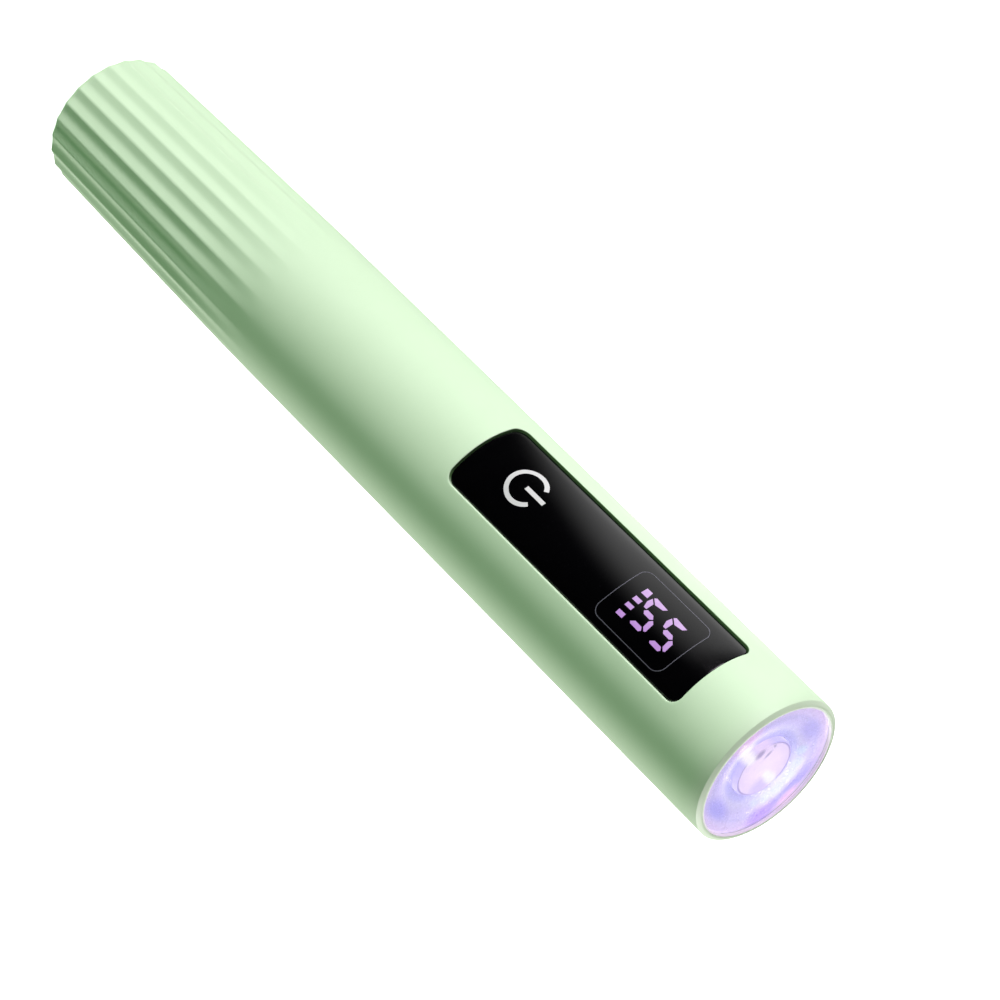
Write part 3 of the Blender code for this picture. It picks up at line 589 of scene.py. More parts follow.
def body_shell(material):
    """The fluted tube as one closed mesh, with the panel's pocket and window and the bore inside."""
    step_arc = 2 * math.pi * RADIUS / COLUMNS
    half_columns = int((PANEL_HALF_ARC + PATCH_MARGIN) / step_arc)
    patch = patch_rows()
    fillet = [TAIL_ROUNDING * (1 - math.cos(math.radians(a))) for a in range(0, 91, 9)]
    grip = [TAIL_ROUNDING + (FLUTE_END - TAIL_ROUNDING) * k / GRIP_ROWS for k in range(1, GRIP_ROWS + 1)]
    below = [*fillet, *grip, *PLAIN_ROWS]
    outer_rows = [*below, *patch, *UPPER_ROWS]
    loops = [ring_at(z, lambda column, z=z: outer_radius(z, column)) for z in outer_rows]
    across, down = RIM_CHAMFER
    eased = ((0.0, 1 + RIM_EASE), (0.02, 1 + 0.3 * RIM_EASE), (0.06, 1 - 0.5 * RIM_EASE), (0.14, 0.86))
    eased += tuple((b, a) for a, b in reversed(eased))
    rim = [(RADIUS - across * a, HEAD - down * b) for a, b in eased]
    lip = RIM_INNER_FILLET
    rim += rounded((SEAT_RADIUS + lip, HEAD - lip), lip, 90, 180, 4)
    rim += [(SEAT_RADIUS, SEAT_Z), (BORE, SEAT_Z)]
    loops += [ring_at(z, r) for r, z in rim]
    inner_start = len(loops)
    loops += [ring_at(z, BORE) for z in reversed(patch)]
    loops += [ring_at(z, r) for r, z in CAP_SEAT]

    verts = [point for loop in loops for point in loop]
    first_patch = len(below)
    last_patch = first_patch + len(patch) - 1

    def in_window(k, column):
        """Whether the quad above loop k, right of column, lies in the patch on either skin."""
        inside_columns = column < half_columns or column >= COLUMNS - half_columns
        outer = first_patch <= k < last_patch
        inner = inner_start <= k < inner_start + len(patch) - 1
        return inside_columns and (outer or inner)

    faces = []
    for k in range(len(loops)):
        here, there = k * COLUMNS, (k + 1) % len(loops) * COLUMNS
        for i in range(COLUMNS):
            if not in_window(k, i):
                j = (i + 1) % COLUMNS
                faces.append((here + i, here + j, there + j, there + i))

    columns = range(-half_columns, half_columns + 1)
    top = len(patch) - 1
    border = [(0, c) for c in columns] + [(r, half_columns) for r in range(1, top)]
    border += [(top, c) for c in reversed(columns)] + [(r, -half_columns) for r in range(top - 1, 0, -1)]
    outer_border = [(first_patch + r) * COLUMNS + c % COLUMNS for r, c in border]
    inner_border = [(inner_start + top - r) * COLUMNS + c % COLUMNS for r, c in border]

    profile = [(1.4, RADIUS), (0.8, RADIUS), (0.4, RADIUS)]
    profile += rounded((POCKET_FILLET, RADIUS - POCKET_FILLET), POCKET_FILLET, 90, 180, 4)
    profile += [(0.0, PANEL_FRONT), (0.0, POCKET_FLOOR), (-LEDGE, POCKET_FLOOR), (-LEDGE, BORE), (0.6, BORE)]
    walls = [outer_border]
    for offset, radius in profile:
        walls.append(list(range(len(verts), len(verts) + len(border))))
        verts += [pocket_point(c * step_arc, patch[r], offset, radius) for r, c in border]
    walls.append(inner_border)
    for here, there in zip(walls, walls[1:]):
        for i in range(len(border)):
            j = (i + 1) % len(border)
            faces.append((here[i], here[j], there[j], there[i]))
    return piece(mesh_object("body", verts, faces, material, 62), "mint_plastic", "body_shell")


# ------------ panel and its graphics

def outline(half_arc, half_length, corner, arc_steps=36, corner_steps=12):
    """A rounded rectangle as (core arc, core z, direction) entries: its low side, then its high side back."""
    inner_arc, inner_z = half_arc - corner, half_length - corner
    low = []
    for k in range(corner_steps + 1):
        turn = math.radians(180 + 90 * k / corner_steps)
        low.append((-inner_arc, -inner_z, math.cos(turn), math.sin(turn)))
    for k in range(1, arc_steps):
        low.append((-inner_arc + 2 * inner_arc * k / arc_steps, -inner_z, 0.0, -1.0))
    for k in range(corner_steps + 1):
        turn = math.radians(270 + 90 * k / corner_steps)
        low.append((inner_arc, -inner_z, math.cos(turn), math.sin(turn)))
    return low + [(a, -z, x, -y) for a, z, x, y in reversed(low)]


def curved_plate(name, size, corner, profile, material, center=(0.0, PANEL_MIDDLE)):
    """A rounded rectangle bent round the tube. profile lists (inset, radius) from its front to its back."""
    around = outline(*size, corner)
    loops = []
    for inset, radius in profile:
        loops.append([
            on_tube(center[0] + a + x * (corner - inset), center[1] + z + y * (corner - inset), radius)
            for a, z, x, y in around
        ])
    verts, faces = lofted(loops, caps=False)
    for first in (0, (len(loops) - 1) * len(around)):
        for i in range(len(around) // 2 - 1):
            far = len(around) - 1 - i
            faces.append((first + i, first + i + 1, first + far - 1, first + far))
    return mesh_object(name, verts, faces, material, 50)


def frame_line(name, size, corner, line, center, material):
    """The thin printed frame: a rounded rectangle's outline, bowed a little toward the head."""
    around = outline(*size, corner)
    loops = []
    for inset, radius in ((0.0, PRINT_FRONT), (line, PRINT_FRONT), (line, PRINT_BACK), (0.0, PRINT_BACK)):
        loop = []
        for a, z, x, y in around:
            arc = a + x * (corner - inset)
            bow = SCREEN_BOW * (1 - (arc / size[0]) ** 2)
            loop.append(on_tube(center[0] + arc, center[1] + z + y * (corner - inset) + bow, radius))
        loops.append(loop)
    verts, faces = lofted(loops, closed_stack=True)
    return mesh_object(name, verts, faces, material, 50)


def printed_shape(name, shape, material, spacing=0.25):
    """A convex shape of (arc, z) points as a thin solid on the panel, bent to its curve."""
    arcs = sorted({round(arc, 5) for arc, _ in shape})
    cuts = []
    for a, b in zip(arcs, arcs[1:]):
        pieces = max(1, math.ceil((b - a) / spacing))
        cuts += [a + (b - a) * k / pieces for k in range(pieces)]
    cuts.append(arcs[-1])
    sections = []
    for arc in cuts:
        heights = []
        for (a0, z0), (a1, z1) in zip(shape, shape[1:] + shape[:1]):
            if min(a0, a1) - 1e-5 <= arc <= max(a0, a1) + 1e-5:
                if abs(a1 - a0) < 1e-4:
                    heights += [z0, z1]
                else:
                    heights.append(z0 + (z1 - z0) * (arc - a0) / (a1 - a0))
        low, high = min(heights), max(heights)
        corners = ((low, PRINT_FRONT), (high, PRINT_FRONT), (high, PRINT_BACK), (low, PRINT_BACK))
        sections.append([on_tube(arc, z, radius) for z, radius in corners])
    verts, faces = lofted(sections)
    return mesh_object(name, verts, faces, material, 50)


def power_icon(material):
    """A generic power sign: an open ring and a bar, with the gap toward the light head."""
    inside, outside = ICON_RADIUS - ICON_STROKE / 2, ICON_RADIUS + ICON_STROKE / 2
    corners = ((inside, PRINT_FRONT), (outside, PRINT_FRONT), (outside, PRINT_BACK), (inside, PRINT_BACK))
    sections = []
    steps = 72
    for k in range(steps + 1):
        turn = ICON_GAP + (2 * math.pi - 2 * ICON_GAP) * k / steps
        c, s = math.cos(turn), math.sin(turn)
        sections.append([on_tube(r * s, ICON_Z + r * c, depth) for r, depth in corners])
    verts, faces = lofted(sections)
    piece(mesh_object("power_ring", verts, faces, material, 50), "white_plastic")
    half = ICON_STROKE / 2
    bar = [(-half, ICON_Z), (half, ICON_Z), (half, ICON_Z + ICON_BAR), (-half, ICON_Z + ICON_BAR)]
    piece(printed_shape("power_bar", bar, material), "white_plastic")


def panel_graphics(icon, line, lit):
    """The power icon, the screen's frame, the number 55 reading along +Z, and the charge gauge."""
    power_icon(icon)
    screen = frame_line(
        "screen_frame", (SCREEN_HALF_ARC, SCREEN_HALF_LENGTH), SCREEN_CORNER, SCREEN_LINE,
        (SCREEN_ARC, SCREEN_Z), line,
    )
    piece(screen, "white_plastic")
    for number in (0, 1):
        arc0 = DIGIT_CENTER[0] + number * DIGIT_PITCH[0]
        z0 = DIGIT_CENTER[1] + number * DIGIT_PITCH[1]
        for label, bar in DIGIT_BARS.items():
            shape = [(arc0 + arc, z0 + z) for arc, z in bar]
            piece(printed_shape(f"digit_{number + 1}_{label}", shape, lit), "diffuser")
    low, high = GAUGE_Z - GAUGE_LENGTH / 2, GAUGE_Z + GAUGE_LENGTH / 2
    for number, (start, end) in enumerate(GAUGE_BARS):
        slant = GAUGE_SLANT if number == 0 else 0.0
        shape = [(start, low), (start - 0.03, high - slant), (end - 0.03, high), (end, low)]
        piece(printed_shape(f"gauge_{number + 1}", shape, lit), "diffuser")


# ------------ light head

def light_head(clear, mirror, milky, lit, rubber):
    """The front lens and its lip, reflector, centre optic and gasket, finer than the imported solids."""
    low, high = LENS_LOW, LENS_HIGH
    lens = [(0.0, low), (LENS_RADIUS - LENS_BEVEL, low), (LENS_RADIUS, low + LENS_BEVEL)]
    lens += rounded((LENS_RADIUS - LENS_FILLET, high - LENS_FILLET), LENS_FILLET, 0, 90, 4)
    lens += [(0.0, high)]
    piece(turned("head_lens", lens, clear, 160), "clear_resin", "front_lens")
    # The lip carries painted light: a highlight line along its edge, whiter on the -Y side
    ring = [(LENS_RADIUS - LIP_WIDTH, high + 0.01), (LENS_RADIUS, high + 0.01)]
    top = LIP_HIGH + LIP_RISE - LIP_FILLET
    ring += rounded((LENS_RADIUS - LIP_FILLET, top), LIP_FILLET, 0, 90, 3)
    ring += rounded((LENS_RADIUS - LIP_WIDTH + LIP_FILLET, top), LIP_FILLET, 90, 180, 3)
    piece(turned("lens_lip", ring, lit, 160), "clear_resin")

    throat, flange, back = OPTIC_RADIUS + THROAT_GAP, BOWL_HIGH, BOWL_LOW
    bowl = [(throat, flange - DISH_DEPTH)]
    for k in range(1, DISH_STEPS + 1):
        share = k / DISH_STEPS
        depth = DISH_DEPTH * math.sin(math.pi * (0.5 + share / 2)) ** 2
        bowl.append((throat + (DISH_RADIUS - throat) * share, flange - depth))
    bowl += [(10.12, flange), (10.16, flange - 0.04)]
    bowl += [(radius, back + rise) for radius, rise in BOWL_UNDERSIDE]
    bowl.append((throat, back + 0.8))
    piece(turned("reflector", bowl, mirror, 160), "reflector", "reflector_bowl")

    low, high = span("center_lens")
    rim = high - OPTIC_CROWN
    optic = [(0.0, low), (OPTIC_RADIUS - OPTIC_BEVEL, low), (OPTIC_RADIUS, low + OPTIC_BEVEL)]
    shoulder = OPTIC_RADIUS - OPTIC_FILLET
    optic += rounded((shoulder, rim - OPTIC_FILLET), OPTIC_FILLET, 0, 85, 9)
    for k in range(1, 10):
        share = 1 - k / 10
        optic.append((shoulder * share, rim + OPTIC_CROWN * (1 - share**2)))
    optic += [(0.0, high)]
    piece(turned("optic_dome", optic, milky, 128), "center_resin", "center_lens")

    low, high = span("lens_gasket")
    middle, half = (low + high) / 2, (high - low) / 2 - 0.01
    circle = rounded((0.0, 0.0), 1.0, 0, 337.5, 15)
    ring = [(GASKET_RADIUS + GASKET_HALF_WIDTH * x, middle + half * y) for x, y in circle]
    piece(turned("head_gasket", ring, rubber, 128), "gasket_rubber", "lens_gasket")


# ------------ tail end

def stadium(width, height, z, steps=14):
    """A loop with round ends at height z, its long side along X."""
    end, straight = height / 2, (width - height) / 2
    loop = []
    for side in (1, -1):
        for k in range(steps + 1):
            turn = math.pi * k / steps - math.pi / 2
            loop.append((side * (straight + end * math.cos(turn)), side * end * math.sin(turn), z))
    return loop


def stadium_solid(name, sections, material):
    """A skin over stadiums given as (width, height, z)."""
    return mesh_object(name, *lofted([stadium(*section) for section in sections]), material, 40)


def tail_cap(material):
    """The round plug in the tail, with the socket's flared slot and two countersunk screw holes."""
    low, high = span("tail_cap")
    radius = span("tail_cap", 0)[1]
    profile = [(0.0, low), (radius - 0.22, low)]
    profile += rounded((radius - 0.2, low + 0.2), 0.2, -85, 0, 5)
    profile += [(radius, 1.15), (5.9, 1.15), (5.9, high), (0.0, high)]
    cap = turned("tail_plug", profile, material, 128)
    width, height = SLOT_SIZE
    widening = ((0.7, low - 1.0), (0.7, low), (0.3, low + 0.07), (0.0, low + 0.28), (0.0, high + 1.0))
    flare = [(width + wider, height + wider, z) for wider, z in widening]
    cap = cut(cap, stadium_solid("slot_cutter", flare, material))
    sink = [(0.0, low - 1.0), (1.62, low - 1.0), (1.62, low), (1.5, low + 0.1), (0.85, low + 1.05)]
    sink += [(0.85, 5.0), (0.0, 5.0)]
    for y in (-TAIL_SCREW_Y, TAIL_SCREW_Y):
        cap = cut(cap, turned("sink_cutter", sink, material, 48, center=(0.0, y)))
    finish_cut(cap)
    return piece(cap, "mint_plastic", "tail_cap")


def finish_cut(obj, sharp=40):
    """Cleans a Boolean's result and shades it."""
    bm = bmesh.new()
    bm.from_mesh(obj.data)
    bmesh.ops.remove_doubles(bm, verts=bm.verts, dist=1e-7)
    bmesh.ops.recalc_face_normals(bm, faces=bm.faces)
    bm.to_mesh(obj.data)
    bm.free()
    obj.data.shade_smooth()
    obj.data.set_sharp_from_angle(angle=math.radians(sharp))


def tail_screw(number, y, material):
    """A countersunk cross-head screw whose head faces the floor."""
    node = f"tail_screw_{number}"
    low, high = span(node)
    head = 1.35
    profile = [(0.0, low), (head - 0.08, low + 0.01), (head, low + 0.07), (0.72, low + 0.85)]
    turns = 9
    first, last = low + 1.05, high - 0.7
    pitch = (last - first) / turns
    for k in range(turns):
        z = first + (last - first) * k / turns
        profile += [(0.58, z), (0.7, z + pitch / 2)]
    profile += [(0.5, high - 0.5), (0.0, high)]
    screw = turned(f"cap_screw_{number}", profile, material, 48, center=(0.0, y))
    for turn in (0.0, math.pi / 2):
        c, s = math.cos(turn), math.sin(turn)
        loops = []
        for z, arm, width in ((low - 0.5, 0.86, 0.2), (low, 0.86, 0.2), (low + 0.55, 0.5, 0.11)):
            corners = ((-arm, -width), (arm, -width), (arm, width), (-arm, width))
            loops.append([(x * c - v * s, y + x * s + v * c, z) for x, v in corners])
        screw = cut(screw, mesh_object("cross_cutter", *lofted(loops), material))
    finish_cut(screw, 35)
    return piece(screw, "screw_steel", node)


def socket_pieces(steel, black, gold):
    """The drawn socket shell with its rolled mouth, and the tongue with its contacts."""
    low, high = span("socket_shell")
    width, height = span("socket_shell", 0)[1] * 2, span("socket_shell", 1)[1] * 2
    wall = 0.3
    inside, across = width - 2 * wall, height - 2 * wall
    sections = [
        (width - 0.3, height - 0.3, high), (width, height, high - 0.2), (width, height, low + 0.12),
        (width - 0.06, height - 0.06, low + 0.04), (width - 0.2, height - 0.2, low),
        (inside + 0.3, across + 0.3, low + 0.02), (inside + 0.1, across + 0.1, low + 0.1),
        (inside, across, low + 0.26), (inside, across, high - wall),
    ]
    shell = stadium_solid("port_shell", sections, steel)
    piece(shell, "socket_steel", "socket_shell")

    low, high = span("socket_tongue")
    wide, thick = 6.7 / 2, 0.7 / 2
    base = high - 1.15
    sections = []
    for z, inset in ((low, 0.16), (low + 0.1, 0.04), (low + 0.2, 0.0), (base, 0.0)):
        a, b, bevel = wide - inset, thick - inset, 0.08
        sections.append([
            (-a + bevel, -b, z), (a - bevel, -b, z), (a, -b + bevel, z), (a, b - bevel, z), (a - bevel, b, z),
            (-a + bevel, b, z), (-a, b - bevel, z), (-a, -b + bevel, z),
        ])
    tongue = mesh_object("port_tongue", *lofted(sections), black, 40)
    plate = [(inside - 0.12, across - 0.12, z) for z in (base, high)]
    tongue = cut(tongue, stadium_solid("port_base", plate, black), "UNION")
    finish_cut(tongue)
    piece(tongue, "black_plastic", "socket_tongue")

    for side in (-1, 1):
        for k in range(CONTACTS):
            x = (k - (CONTACTS - 1) / 2) * CONTACT_PITCH
            start = low + (0.45 if k in (0, CONTACTS - 1) else 0.8)
            end = base - 0.1
            bend = ((start, -0.06), (start, 0.02), (start + 0.12, 0.05), (end, 0.05), (end, -0.06))
            verts = [(x + dx, side * (thick + lift), z) for z, lift in bend for dx in (-0.13, 0.13)]
            strip = [(0, 2, 4, 6, 8), (1, 3, 5, 7, 9)]
            strip += [(2 * i, 2 * i + 1, (2 * i + 3) % 10, (2 * i + 2) % 10) for i in range(5)]
            contact = mesh_object(f"port_contact_{'a' if side < 0 else 'b'}{k + 1}", verts, strip, gold, 30)
            piece(contact, "nickel_strip")


# ------------ materials of every slot

def board_material(name, base, trace, pitch):
    """A printed board: base colour with a lattice of traces seen through the solder resist."""
    made, tree, shader = node_material(name)
    lattice = linked(
        tree, "ShaderNodeTexBrick",
        {"Vector": object_coordinates(tree), "Color1": (*base, 1), "Color2": (*scaled(base, 0.85), 1),
         "Mortar": (*trace, 1), "Scale": 1 / MM, "Mortar Size": pitch * 0.09, "Brick Width": pitch * 2.6,
         "Row Height": pitch},
    )
    patches = noise(tree, 0.4, 3.0)
    tint = mixed(tree, ranged(tree, patches, 0.0, 0.35), (0, 0, 0), scaled(base, 1.3))
    set_inputs(shader, {
        "Base Color": mixed(tree, 0.25, lattice.outputs["Color"], tint),
        "Roughness": ranged(tree, patches, 0.28, 0.42),
        "Normal": relief(tree, lattice.outputs["Fac"], 0.02, 0.6),
    })
    return made


def mint_material():
    """The body's mint plastic, with painted shade on the pocket's wall along its -X side and tail end: a dark
    green that stands for the wall's shadow line.
    """
    made = surface("mint_plastic", MINT, MINT_SPREAD, (0.5, 0.58), grain=6.0, bump=0.006, mottle=0.12,
                   specular=0.4)
    tree = made.node_tree
    shader = tree.nodes["Principled BSDF"]
    axes = object_axes(tree)

    def fades(axis, low, high, start=1.0):
        """Goes from start to its opposite, 0 or 1, between two places on an axis in millimetres."""
        return ranged(tree, axes[axis], start, 1.0 - start, low * MM, high * MM)

    # Painted shade: the dark green mixed over the plain mint on the pocket's wall, between its ends, along
    # the -X side and the tail end
    along = calc(tree, "MULTIPLY", fades("Z", *POCKET_SHADE_LOW, 0.0), fades("Z", *POCKET_SHADE_HIGH))
    either = calc(tree, "MAXIMUM", fades("X", *POCKET_SHADE_SIDE), fades("Z", *POCKET_SHADE_TAIL))
    wall = ranged(tree, radial(tree)[0], 1.0, 0.0, *POCKET_SHADE_REACH)
    share = calc(tree, "MULTIPLY", calc(tree, "MULTIPLY", along, either), wall)
    plain = shader.inputs["Base Color"].links[0].from_socket
    set_inputs(shader, {"Base Color": mixed(tree, share, plain, POCKET_SHADE)})
    return made


def lit_plastic(name, color, deep, strength, body, reach=(-2.2, 3.4), axis="X"):
    """Milky plastic lit from behind, also used for the lens lip's painted glow. Its glow turns from color to
    deep over a reach along the axis.
    """
    made, tree, shader = node_material(name)
    across = ranged(tree, object_axes(tree)[axis], 0.0, 1.0, reach[0] * MM, reach[1] * MM)
    cloudy = noise(tree, 1.4, 2.0)
    blend = calc(tree, "ADD", across, ranged(tree, cloudy, -0.12, 0.12), use_clamp=True)
    set_inputs(shader, {
        "Base Color": mixed(tree, ranged(tree, cloudy, 0.0, 1.0), body, scaled(body, 0.85)),
        "Roughness": ranged(tree, cloudy, 0.35, 0.5),
        "Emission Color": mixed(tree, blend, color, deep),
        "Emission Strength": strength,
    })
    return made


def clear_material():
    """Clear lens resin with a faint lavender tint and fine moulding streaks."""
    made, tree, shader = node_material("clear_resin")
    streaks = noise(tree, 0.9, 3.0, (1, 1, 4))
    set_inputs(shader, {
        "Base Color": mixed(tree, ranged(tree, streaks, 0.0, 1.0), (0.985, 0.98, 1.0), (0.975, 0.965, 1.0)),
        "Roughness": ranged(tree, streaks, 0.015, 0.04),
        "Transmission Weight": 1.0,
        "IOR": 1.46,
    })
    return made


def reflector_material():
    """The metallised bowl and flange, with the emitter's violet light painted on as glow, and painted
    highlights and reflections: its bright arcs and patches.
    """
    made, tree, shader = node_material("reflector")
    distance, flat = radial(tree)
    glow = color_ramp(tree, calc(tree, "DIVIDE", distance, REFLECTOR_REACH), [
        (0.44, rgb(194, 188, 248)), (0.51, rgb(204, 200, 254)), (0.60, rgb(222, 216, 255)),
        (0.72, rgb(218, 208, 254)), (0.81, rgb(214, 205, 252)), (0.88, rgb(226, 212, 254)),
        (0.97, rgb(228, 210, 250)),
    ])
    grain = noise(tree, 2.5, 3.0)
    set_inputs(shader, {
        "Base Color": mixed(tree, ranged(tree, grain, 0.0, 1.0), (0.1, 0.09, 0.14), (0.08, 0.075, 0.12)),
        "Metallic": 0.9,
        "Roughness": ranged(tree, grain, 0.24, 0.34),
        "Normal": relief(tree, grain, 0.003, 0.3),
        "Emission Color": glowing(tree, flat, glow, REFLECTOR_PAINTED_GLOWS),
        "Emission Strength": REFLECTOR_GLOW,
    })
    return made


def dome_material():
    """The milky centre optic, glowing pinkish white from the emitter, with a painted darker rim, painted
    highlights and reflections, and painted dark marks where the emitter's die shows through.
    """
    made, tree, shader = node_material("center_resin")
    distance, flat = radial(tree)
    glow = color_ramp(tree, calc(tree, "DIVIDE", distance, OPTIC_RADIUS), [
        (0.0, rgb(250, 236, 252)), (0.5, rgb(247, 230, 251)), (0.9, rgb(238, 222, 250)),
        (0.95, rgb(168, 154, 212)), (0.985, rgb(206, 198, 250)),
    ])
    cloudy = noise(tree, 1.2, 3.0)
    set_inputs(shader, {
        "Base Color": mixed(tree, ranged(tree, cloudy, 0.0, 1.0), (0.3, 0.27, 0.36), (0.24, 0.22, 0.32)),
        "Roughness": ranged(tree, cloudy, 0.12, 0.22),
        "Emission Color": glowing(tree, flat, glow, DOME_PAINTED_GLOWS),
        "Emission Strength": DOME_GLOW,
    })
    return made


def make_materials():
    """One material for every slot of the record."""
    made = {
        "mint_plastic": mint_material(),
        "panel_black": surface("panel_black", (0.0012, 0.0012, 0.0015), (0.0007, 0.0007, 0.001), (0.12, 0.17),
                               grain=1.5, bump=0.0006, specular=0.25),
        "black_plastic": surface("black_plastic", (0.03, 0.03, 0.032), (0.02, 0.02, 0.022), (0.45, 0.6),
                                 bump=0.01),
        "white_plastic": surface("white_plastic", (0.66, 0.66, 0.65), (0.58, 0.58, 0.57), (0.4, 0.5),
                                 bump=0.004),
        "diffuser": lit_plastic("diffuser", rgb(212, 174, 230), rgb(180, 128, 208), 0.95,
                                (0.07, 0.065, 0.08)),
        # Painted light: the lens lip glows greenish white on its -Y side and lavender toward +Y, a painted
        # highlight line over the lens's glow
        "lip_painted_glow": lit_plastic("lip_painted_glow", rgb(230, 240, 228), rgb(234, 212, 246), 0.66, (0.3, 0.3, 0.28),
                                 (-3.0, 5.0), "Y"),
        "clear_resin": clear_material(),
        "center_resin": dome_material(),
        "reflector": reflector_material(),
        "aluminium": surface("aluminium", (0.6, 0.61, 0.62), (0.5, 0.51, 0.52), (0.28, 0.42), 1.0, 6.0, 0.008,
                             0.3, (0.2, 0.2, 4)),
        "circuit_board": board_material("circuit_board", (0.012, 0.1, 0.035), (0.05, 0.24, 0.09), 0.9),
        "metal_core_board": board_material("metal_core_board", (0.72, 0.72, 0.7), (0.82, 0.82, 0.8), 2.2),
    }
    for slot, (color, roughness, metallic, bump) in PLAIN_FINISHES.items():
        made[slot] = surface(slot, color, scaled(color, 0.78), roughness, metallic, bump=bump)
    return made


# ------------ stage

def around(azimuth, distance, height):
    """A place round the lamp, in metres; azimuth is in degrees from the panel's side toward +X."""
    turn = math.radians(azimuth)
    return Vector((distance * math.sin(turn), -distance * math.cos(turn), height))


def add_light(name, place, energy, color, size):
    """A soft rectangle of light that the camera doesn't see, aimed at the lamp."""
    data = bpy.data.lights.new(name, "AREA")
    data.energy = energy
    data.color = color
    data.shape = "RECTANGLE"
    data.size, data.size_y = size
    light = placed(name, data)
    light.location = place
    light.rotation_euler = (Vector(LIGHT_TARGET) - place).to_track_quat("-Z", "Y").to_euler()
    light.visible_camera = False


def stage_object(name, verts, faces, material, *hidden_from):
    """A stage mesh from points in metres, unseen by the named kinds of ray."""
    mesh = bpy.data.meshes.new(name)
    mesh.from_pydata(verts, [], faces)
    mesh.materials.append(material)
    obj = placed(name, mesh)
    for ray in hidden_from:
        setattr(obj, f"visible_{ray}", False)


def ground_plane(name, height, material, *hidden_from):
    """A wide level square that gloss and glass don't see, nor the other named kinds of ray."""
    signs = ((-1, -1), (1, -1), (1, 1), (-1, 1))
    corners = [(x * FLOOR_REACH, y * FLOOR_REACH, height) for x, y in signs]
    stage_object(name, corners, [(0, 1, 2, 3)], material, "glossy", "transmission", *hidden_from)


def one_sided(tree, shader):
    """Shows shader on a plane's upper side only."""
    under = linked(tree, "ShaderNodeBsdfTransparent")
    side = linked(tree, "ShaderNodeNewGeometry").outputs["Backfacing"]
    both = linked(tree, "ShaderNodeMixShader", {0: side, 1: shader.outputs[0], 2: under.outputs[0]})
    set_inputs(tree.nodes["Material Output"], {"Surface": both.outputs[0]})


def floor():
    """A wide white light table, and below it the softer card whose bounce fills the lamp's shadows."""
    made, tree, shader = node_material("studio_floor")
    patches = noise(tree, 0.002, 2.0)
    shade = mixed(tree, ranged(tree, patches, 0.0, 1.0), (1.0, 1.0, 1.0), (0.985, 0.985, 0.985))
    set_inputs(shader, {
        "Base Color": shade, "Emission Color": shade, "Emission Strength": FLOOR_GLOW,
        "Roughness": 0.9, "Specular IOR Level": 0.0,
    })
    one_sided(tree, shader)
    ground_plane("floor", 0.0, made, "diffuse")

    made, tree, shader = node_material("bounce_card")
    set_inputs(shader, {
        "Base Color": (0, 0, 0, 1), "Emission Color": (*BOUNCE, 1), "Emission Strength": 1.0,
    })
    one_sided(tree, shader)
    ground_plane("bounce_card", -BOUNCE_DEPTH, made, "camera", "shadow")


def side_card():
    """A curved card on the -X side that only shines in glossy surfaces, fading downward and toward +X."""
    made, tree, _ = node_material("side_card")
    axes = object_axes(tree)
    height = calc(tree, "ADD", axes["Z"], calc(tree, "MULTIPLY_ADD", axes["X"], *CARD_TILT))
    across = ranged(tree, axes["X"], 0.0, 1.0, *CARD_ACROSS, interpolation_type="SMOOTHSTEP")
    upward = ranged(tree, height, 0.0, 1.0, *CARD_UPWARD, interpolation_type="SMOOTHSTEP")
    strength = calc(tree, "MULTIPLY", calc(tree, "MULTIPLY", across, upward), CARD_GLOW)
    shine = linked(tree, "ShaderNodeEmission", {"Strength": strength})
    clear = linked(tree, "ShaderNodeBsdfTransparent")
    both = linked(tree, "ShaderNodeAddShader", {0: shine.outputs[0], 1: clear.outputs[0]})
    set_inputs(tree.nodes["Material Output"], {"Surface": both.outputs[0]})
    rows = [
        [tuple(around(azimuth, CARD_RADIUS, z)) for azimuth in CARD_AZIMUTHS] for z in (0.0, CARD_HEIGHT)
    ]
    verts, faces = lofted(rows, closed_loops=False, caps=False)
    stage_object("side_card", verts, faces, made, "camera", "diffuse", "transmission", "shadow")


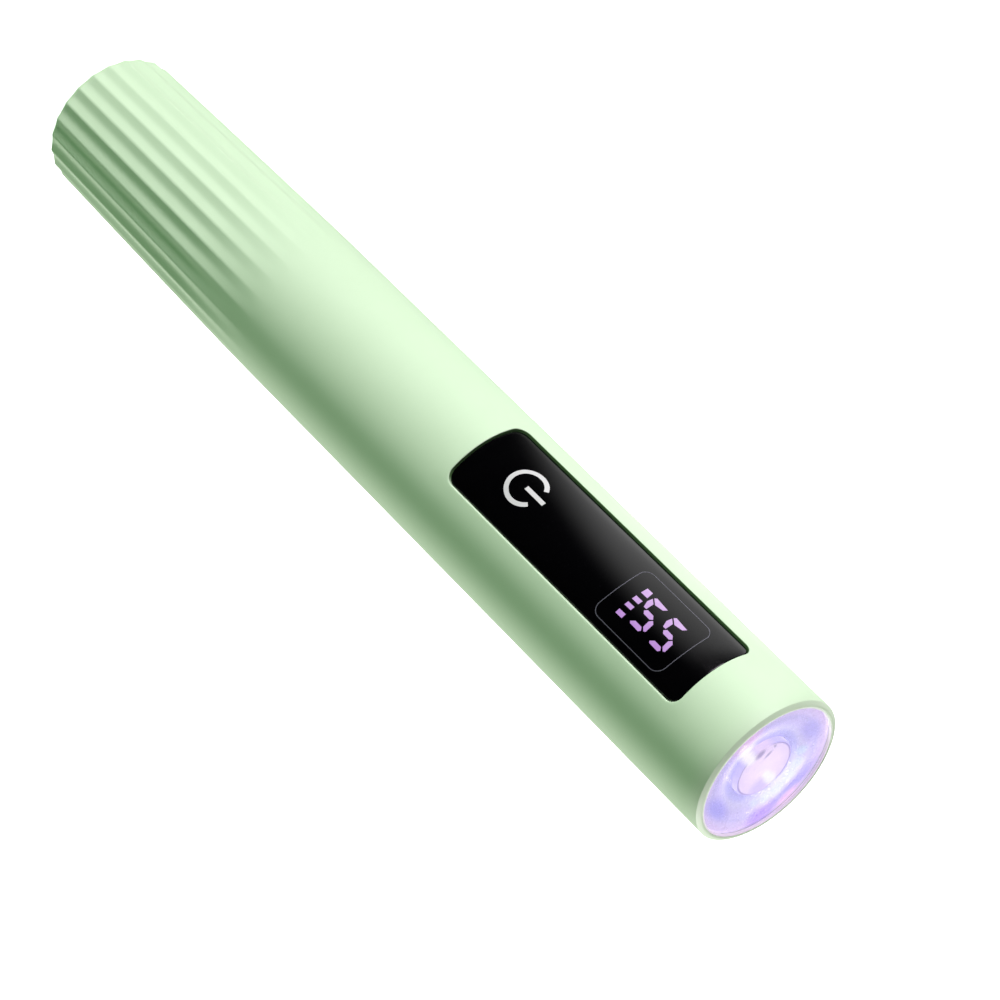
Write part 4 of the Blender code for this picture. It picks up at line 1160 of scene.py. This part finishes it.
def lights():
    """The soft lights, and a white world that only the camera sees."""
    for name, place, energy, color, size in LIGHTS:
        add_light(name, around(*place), energy, color, size)
    world = bpy.data.worlds.new("studio")
    bpy.context.scene.world = world
    world.use_nodes = True
    tree = world.node_tree
    seen = linked(tree, "ShaderNodeLightPath").outputs["Is Camera Ray"]
    set_inputs(tree.nodes["Background"], {"Strength": seen, "Color": (1, 1, 1, 1)})


def camera():
    """The still camera, rolled so that the lamp lies on the picture's diagonal."""
    data = bpy.data.cameras.new("camera")
    data.lens = CAMERA_LENS
    data.clip_start, data.clip_end = 0.01, 50
    view = placed("camera", data)
    level = math.cos(CAMERA_ELEVATION)
    back = Vector((
        math.sin(CAMERA_AZIMUTH) * level, -math.cos(CAMERA_AZIMUTH) * level, math.sin(CAMERA_ELEVATION)
    ))
    view.location = (Vector(CAMERA_AIM) + back * CAMERA_DISTANCE) * MM
    upright = (-back).to_track_quat("-Z", "Y")
    view.rotation_mode = "QUATERNION"
    view.rotation_quaternion = upright @ Quaternion((0, 0, 1), CAMERA_ROLL)
    bpy.context.scene.camera = view
    bpy.context.scene.view_settings.view_transform = "Standard"


# ------------ the lamp

finishes = make_materials()
body_shell(finishes["mint_plastic"])
panel_profile = [(PANEL_GAP + PANEL_FILLET, PANEL_FRONT)]
panel_profile += [
    (PANEL_GAP + PANEL_FILLET - x, PANEL_FRONT - PANEL_FILLET + y)
    for x, y in rounded((0.0, 0.0), PANEL_FILLET, 70, 0, 4)
]
panel_profile += [(PANEL_GAP, PANEL_BACK)]
window = curved_plate(
    "display_window", (PANEL_HALF_ARC, PANEL_HALF_LENGTH), PANEL_CORNER, panel_profile,
    finishes["panel_black"],
)
piece(window, "panel_black", "display_panel")
panel_graphics(finishes["white_plastic"], finishes["frame_print"], finishes["diffuser"])
light_head(
    finishes["clear_resin"], finishes["reflector"], finishes["center_resin"], finishes["lip_painted_glow"],
    finishes["gasket_rubber"],
)
tail_cap(finishes["mint_plastic"])
for screw_number, screw_y in ((1, -TAIL_SCREW_Y), (2, TAIL_SCREW_Y)):
    tail_screw(screw_number, screw_y, finishes["screw_steel"])
socket_pieces(finishes["socket_steel"], finishes["black_plastic"], finishes["contact_gold"])

for entry in frame["record"]["subparts"]:
    for material_slot in frame["nodes"][entry["node"]].material_slots:
        material_slot.material = finishes[entry["material_slot"]]

floor()
side_card()
lights()
camera()
